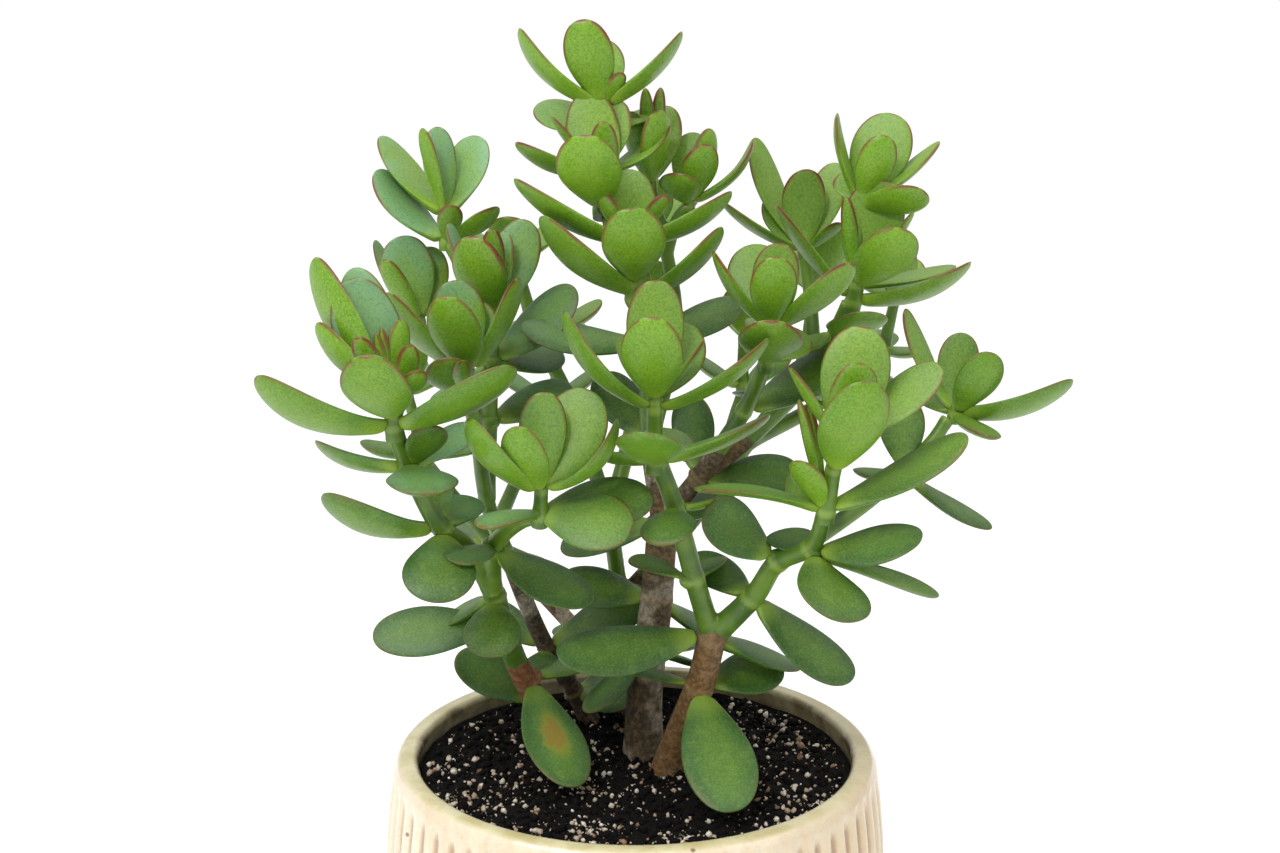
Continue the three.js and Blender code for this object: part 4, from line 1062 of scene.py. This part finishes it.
def ringOn(spot, limbs):  # a ring of tissue round the limb that passes a joint
    limb = min(limbs, key=lambda one: np.linalg.norm(one["spots"] - spot, axis=1).min())
    index = int(np.linalg.norm(limb["spots"] - spot, axis=1).argmin())
    wood, count = float(limb["wood"][index]), collar["points"]
    radius = float(limb["radius"][index]) * collar["proud"]
    before, after = limb["spots"][max(0, index - 3)], limb["spots"][min(index + 3, len(limb["spots"]) - 1)]
    way = (after - before) / np.linalg.norm(after - before)
    half, lessInBark = collar["half"]
    runs = np.linspace(-1, 1, count) * (half - lessInBark * wood)
    return {"spots": [spot + way * run for run in runs],
            "radius": radius * np.sqrt(np.maximum(0.05, 1 - (np.linspace(-4, 4, count) / 5.2) ** 2 * 0.8)),
            "run": np.arange(count) * collar["skinStep"], "ring": np.exp(-(runs / 1.6) ** 2),
            "wood": np.full(count, wood * 0.8), "tone": limb["tone"]}


def shoot(spots, girth):  # the short stem at a tip, through all of its joints
    radius = girth * collar["tip"]
    below, above = [np.array([0, 0, radius * share]) for share in collar["past"]]
    points, runs = smoothWay([spots[0] - below, *spots[1:-1], spots[-1] + above], collar["step"])
    ring = np.zeros(len(runs))
    for spot in spots:
        gap = np.linalg.norm(points - spot, axis=1)
        ring = np.maximum(ring, np.exp(-((runs - runs[gap.argmin()]) / 1.8) ** 2))
    share = runs / runs[-1]
    rounded = np.sqrt(np.clip(1 - smoothStep(share, 0.86, 1.0) * 0.9, 0.04, 1))
    taper = radius * (1 - collar["taper"] * share) * rounded
    return {"spots": points, "radius": taper * (1 + collar["swell"] * ring),
            "run": np.arange(len(runs)) * collar["skinStep"], "ring": ring, "wood": np.zeros(len(runs)),
            "tone": (0, 0)}


def buildGroup(name, blade, limbs, draw):
    girth, joints = clusters[name]
    spots = [np.array(at, float) for at, _ in joints]
    atTip = name.endswith(("tip_leaves", "twig_leaves", "middle_leaves"))
    older, leaves = leaf["older"], []
    for number, (at, rows) in enumerate(joints):
        for row in rows:
            ageAndShade = 1.0 - at[2] / leaf["youngest"] + (0 if "tip" in name or "twig" in name else older["trunk"])
            # painted shade: leaves in the plant's own shade are made older, so darker
            ageAndShade += older["inner"] if name.startswith(leaf["inner"]) else 0.0
            ageAndShade += older["young"] if row[3] < leaf["young"] else 0.0
            ageAndShade += older["higherJoint"] * number / max(1, len(joints) - 1)
            ageAndShade = min(1.0, max(0.0, ageAndShade + draw.uniform(-older["chance"], older["chance"])))
            spot = 1.0 if (name, row[0]) == leaf["spotted"] else 0.0
            leaves.append(placeLeaf(blade, spots[number], girth * leaf["footIn"], row, ageAndShade, spot, draw))
    piece = joined(leaves)
    applied(piece, "SUBSURF", levels=leaf["fine"], render_levels=leaf["fine"])
    attributes = piece.data.attributes
    share, side, _ = triples(attributes["leafPlace"].data, "vector").T
    length, width, _ = triples(attributes["leafSize"].data, "vector").T
    edge = np.minimum((1 - np.abs(side)) * bladeWidth(share) * width, (1 - share) * length)
    writeValues(piece.data, "leafRim", edge)
    attributes.remove(attributes["leafSize"])
    coat(piece, leafMaterial())
    cores = [shoot(spots, girth)] if atTip else [ringOn(spot, limbs) for spot in spots]
    piece = joined([piece, *[skinned(tube(core), core) for core in cores]])
    finished(piece, name + "_grown", "leaf", name)


@functools.cache
def leafMaterial():
    board = Board("leafSkin")
    along, side, lift = board.triple("leafPlace")
    ageAndShade, seed, spot = board.triple("leafKind")
    rim = board.add("ShaderNodeAttribute", {}, "Fac", attribute_name="leafRim")
    broad = board.noise(55, 3)
    mottle = board.noise(330, 3, 0.6)
    fine = board.noise(1500, 3, 0.6)
    oldnessAndShade = (ageAndShade + (broad - 0.5) * 0.4).step(0.1, 0.85)
    under = board.mix(oldnessAndShade, *leaf["under"])
    under = board.mix(broad.step(0.35, 0.7) * 0.45, under, leaf["underPatch"])
    right, _, high = board.split(board.place)
    # painted sheen: the bluish bloom is stronger on the leaves high on the left
    sheenUpperLeft = (1 - right.step(-0.055, -0.01)) * high.step(0.2, 0.26)
    bloom = (sheenUpperLeft * 0.75 + 0.12) * (broad + seed * 0.4 + along * 0.2).step(0.45, 0.95)
    upper = board.mix(bloom, board.mix(oldnessAndShade, *leaf["upper"]), leaf["bloom"])
    grain = 0.34 - oldnessAndShade * 0.16
    pale, dark = leaf["grain"]
    uneven = rim + (broad - 0.5) * 4.0
    foot = 1 - (along + (mottle - 0.5) * 0.1).step(0.0, 0.26)
    flush = (1 - uneven.step(0.3, 2.4)) * along.step(0.55, 0.98)
    edge = (1 - (rim + (broad - 0.5) * 1.4).step(0.35, 1.1)) * along.step(0.4, 0.8)
    speck = (1 - board.dots(1150).step(0.1, 0.32)) * (fine + ageAndShade * 0.2).step(0.5, 0.62)
    fromMiddle = board.add("ShaderNodeCombineXYZ", {0: (along - 0.5) * 2.0, 1: side + (mottle - 0.5) * 0.6})
    blotch = 1 - board.add("ShaderNodeVectorMath", {0: fromMiddle}, 1, operation="LENGTH").step(0.12, 0.6)
    colour = board.layers(
        board.mix(lift.step(-0.25, 0.3), under, upper),
        (seed.step(0.0, 1.0) * 0.25, leaf["deep"]),
        # painted highlight in the middle of each leaf
        ((rim + (broad - 0.5) * 6.0).step(1.0, 9.0) * 0.2, leaf["heart"]),
        (mottle.step(0.48, 0.75) * 0.18, leaf["mottle"]),
        (fine.step(0.42, 0.7) * grain, pale),
        ((1 - fine.step(0.3, 0.5)) * grain, dark),
        # painted shade towards the edges
        ((1 - uneven.step(0.0, 4.5)) * oldnessAndShade * 0.4, leaf["shade"]),
        (foot * 0.6, leaf["footColour"]),
        (flush * seed * 0.3, leaf["flush"]),
        (edge * (seed * 0.28 + 0.72) * (1.0 - oldnessAndShade * 0.85), leaf["margin"]),
        (speck * (0.24 - oldnessAndShade * 0.1), leaf["speck"]),
        (blotch * spot * 0.75, leaf["blotch"]),
        ((blotch * (mottle + 0.5)).step(0.55, 0.8) * spot * 0.6, leaf["dry"]))
    rough = mottle * 0.14 + 0.3 + lift.step(-0.2, 0.3) * 0.08
    height = fine * 0.4 + mottle * 0.6 + speck * 0.25
    return board.finish(
        BaseColor=colour, Roughness=rough, SpecularIORLevel=0.4, SubsurfaceWeight=0.06,
        SubsurfaceRadius=(0.4, 0.8, 0.15), SubsurfaceScale=0.002, Normal=board.bump(height, 0.00022, 0.6))


# the pieces
buildPot()
print("pot made")
mixBed = buildMix()
buildGrains(mixBed)
print("potting mix made")

leafJoints = [at for _, joints in clusters.values() for at, _ in joints]
allLimbs = [limb for trunk in trunks for limb in buildTrunk(trunk, leafJoints)]
print("stems made")

pattern = makeBlade()
dice = random.Random(7)
for group in clusters:
    buildGroup(group, pattern, allLimbs, dice)
bpy.data.objects.remove(pattern)
print("leaves made")


# floor, light and camera
studio = {
    "floor": (30.0, 0.95),  # size and paleness
    "sky": (0.38, 1.03),  # light from level, and what is added overhead
    "horizon": (1.0, -9.0),  # a low bright band that carries on the floor
    "lamps": (  # place, size, watts
        ((-0.8, -0.7, 1.5), 0.8, 11),
        ((0.9, -0.6, 1.2), 0.9, 2),
        ((-0.35, -0.95, 1.15), 0.2, 5),
    ),
    "aim": (0, 0, 0.24),  # where the lamps point
    "camera": (0.0016, -0.650, 0.416),
    "pitch": 14.5,  # degrees below level
    "lens": 60.47,
    "sensor": 36,
}


def buildFloor():
    size, pale = studio["floor"]
    selectOnly()
    bpy.ops.mesh.primitive_plane_add(size=size)
    floor = bpy.context.object
    floor.name = "studio_floor"
    coat(floor, Board("paleFloor").finish(BaseColor=(pale, pale, pale), Roughness=0.9))


def lightSky():
    world = bpy.data.worlds.new("studio")
    world.use_nodes = True
    tree = world.node_tree
    place = tree.nodes.new("ShaderNodeTexCoord")
    split = tree.nodes.new("ShaderNodeSeparateXYZ")
    tree.links.new(place.outputs["Generated"], split.inputs[0])
    brighter = tree.nodes.new("ShaderNodeMath")
    brighter.operation = "MAXIMUM"
    for socket, (level, rise) in zip(brighter.inputs, (studio["sky"], studio["horizon"])):
        glow = tree.nodes.new("ShaderNodeMath")
        glow.operation = "MULTIPLY_ADD"
        glow.inputs[1].default_value = rise
        glow.inputs[2].default_value = level
        tree.links.new(split.outputs[2], glow.inputs[0])
        tree.links.new(glow.outputs[0], socket)
    background = tree.nodes["Background"]
    tree.links.new(brighter.outputs[0], background.inputs["Strength"])
    background.inputs["Color"].default_value = (1, 1, 1, 1)
    bpy.context.scene.world = world


def buildStudio():
    buildFloor()
    lightSky()
    for place, size, watts in studio["lamps"]:
        bpy.ops.object.light_add(type="AREA", location=place)
        lamp = bpy.context.object
        lamp.data.size = size
        lamp.data.energy = watts
        lamp.rotation_euler = (Vector(studio["aim"]) - Vector(place)).to_track_quat("-Z", "Y").to_euler()
    bpy.ops.object.camera_add(
        location=studio["camera"], rotation=(math.radians(90 - studio["pitch"]), 0, 0))
    camera = bpy.context.object
    camera.data.sensor_width = studio["sensor"]
    camera.data.lens = studio["lens"]
    camera.data.clip_start = 0.01
    bpy.context.scene.camera = camera
    bpy.context.scene.view_settings.view_transform = "Standard"


buildStudio()
print("studio made")
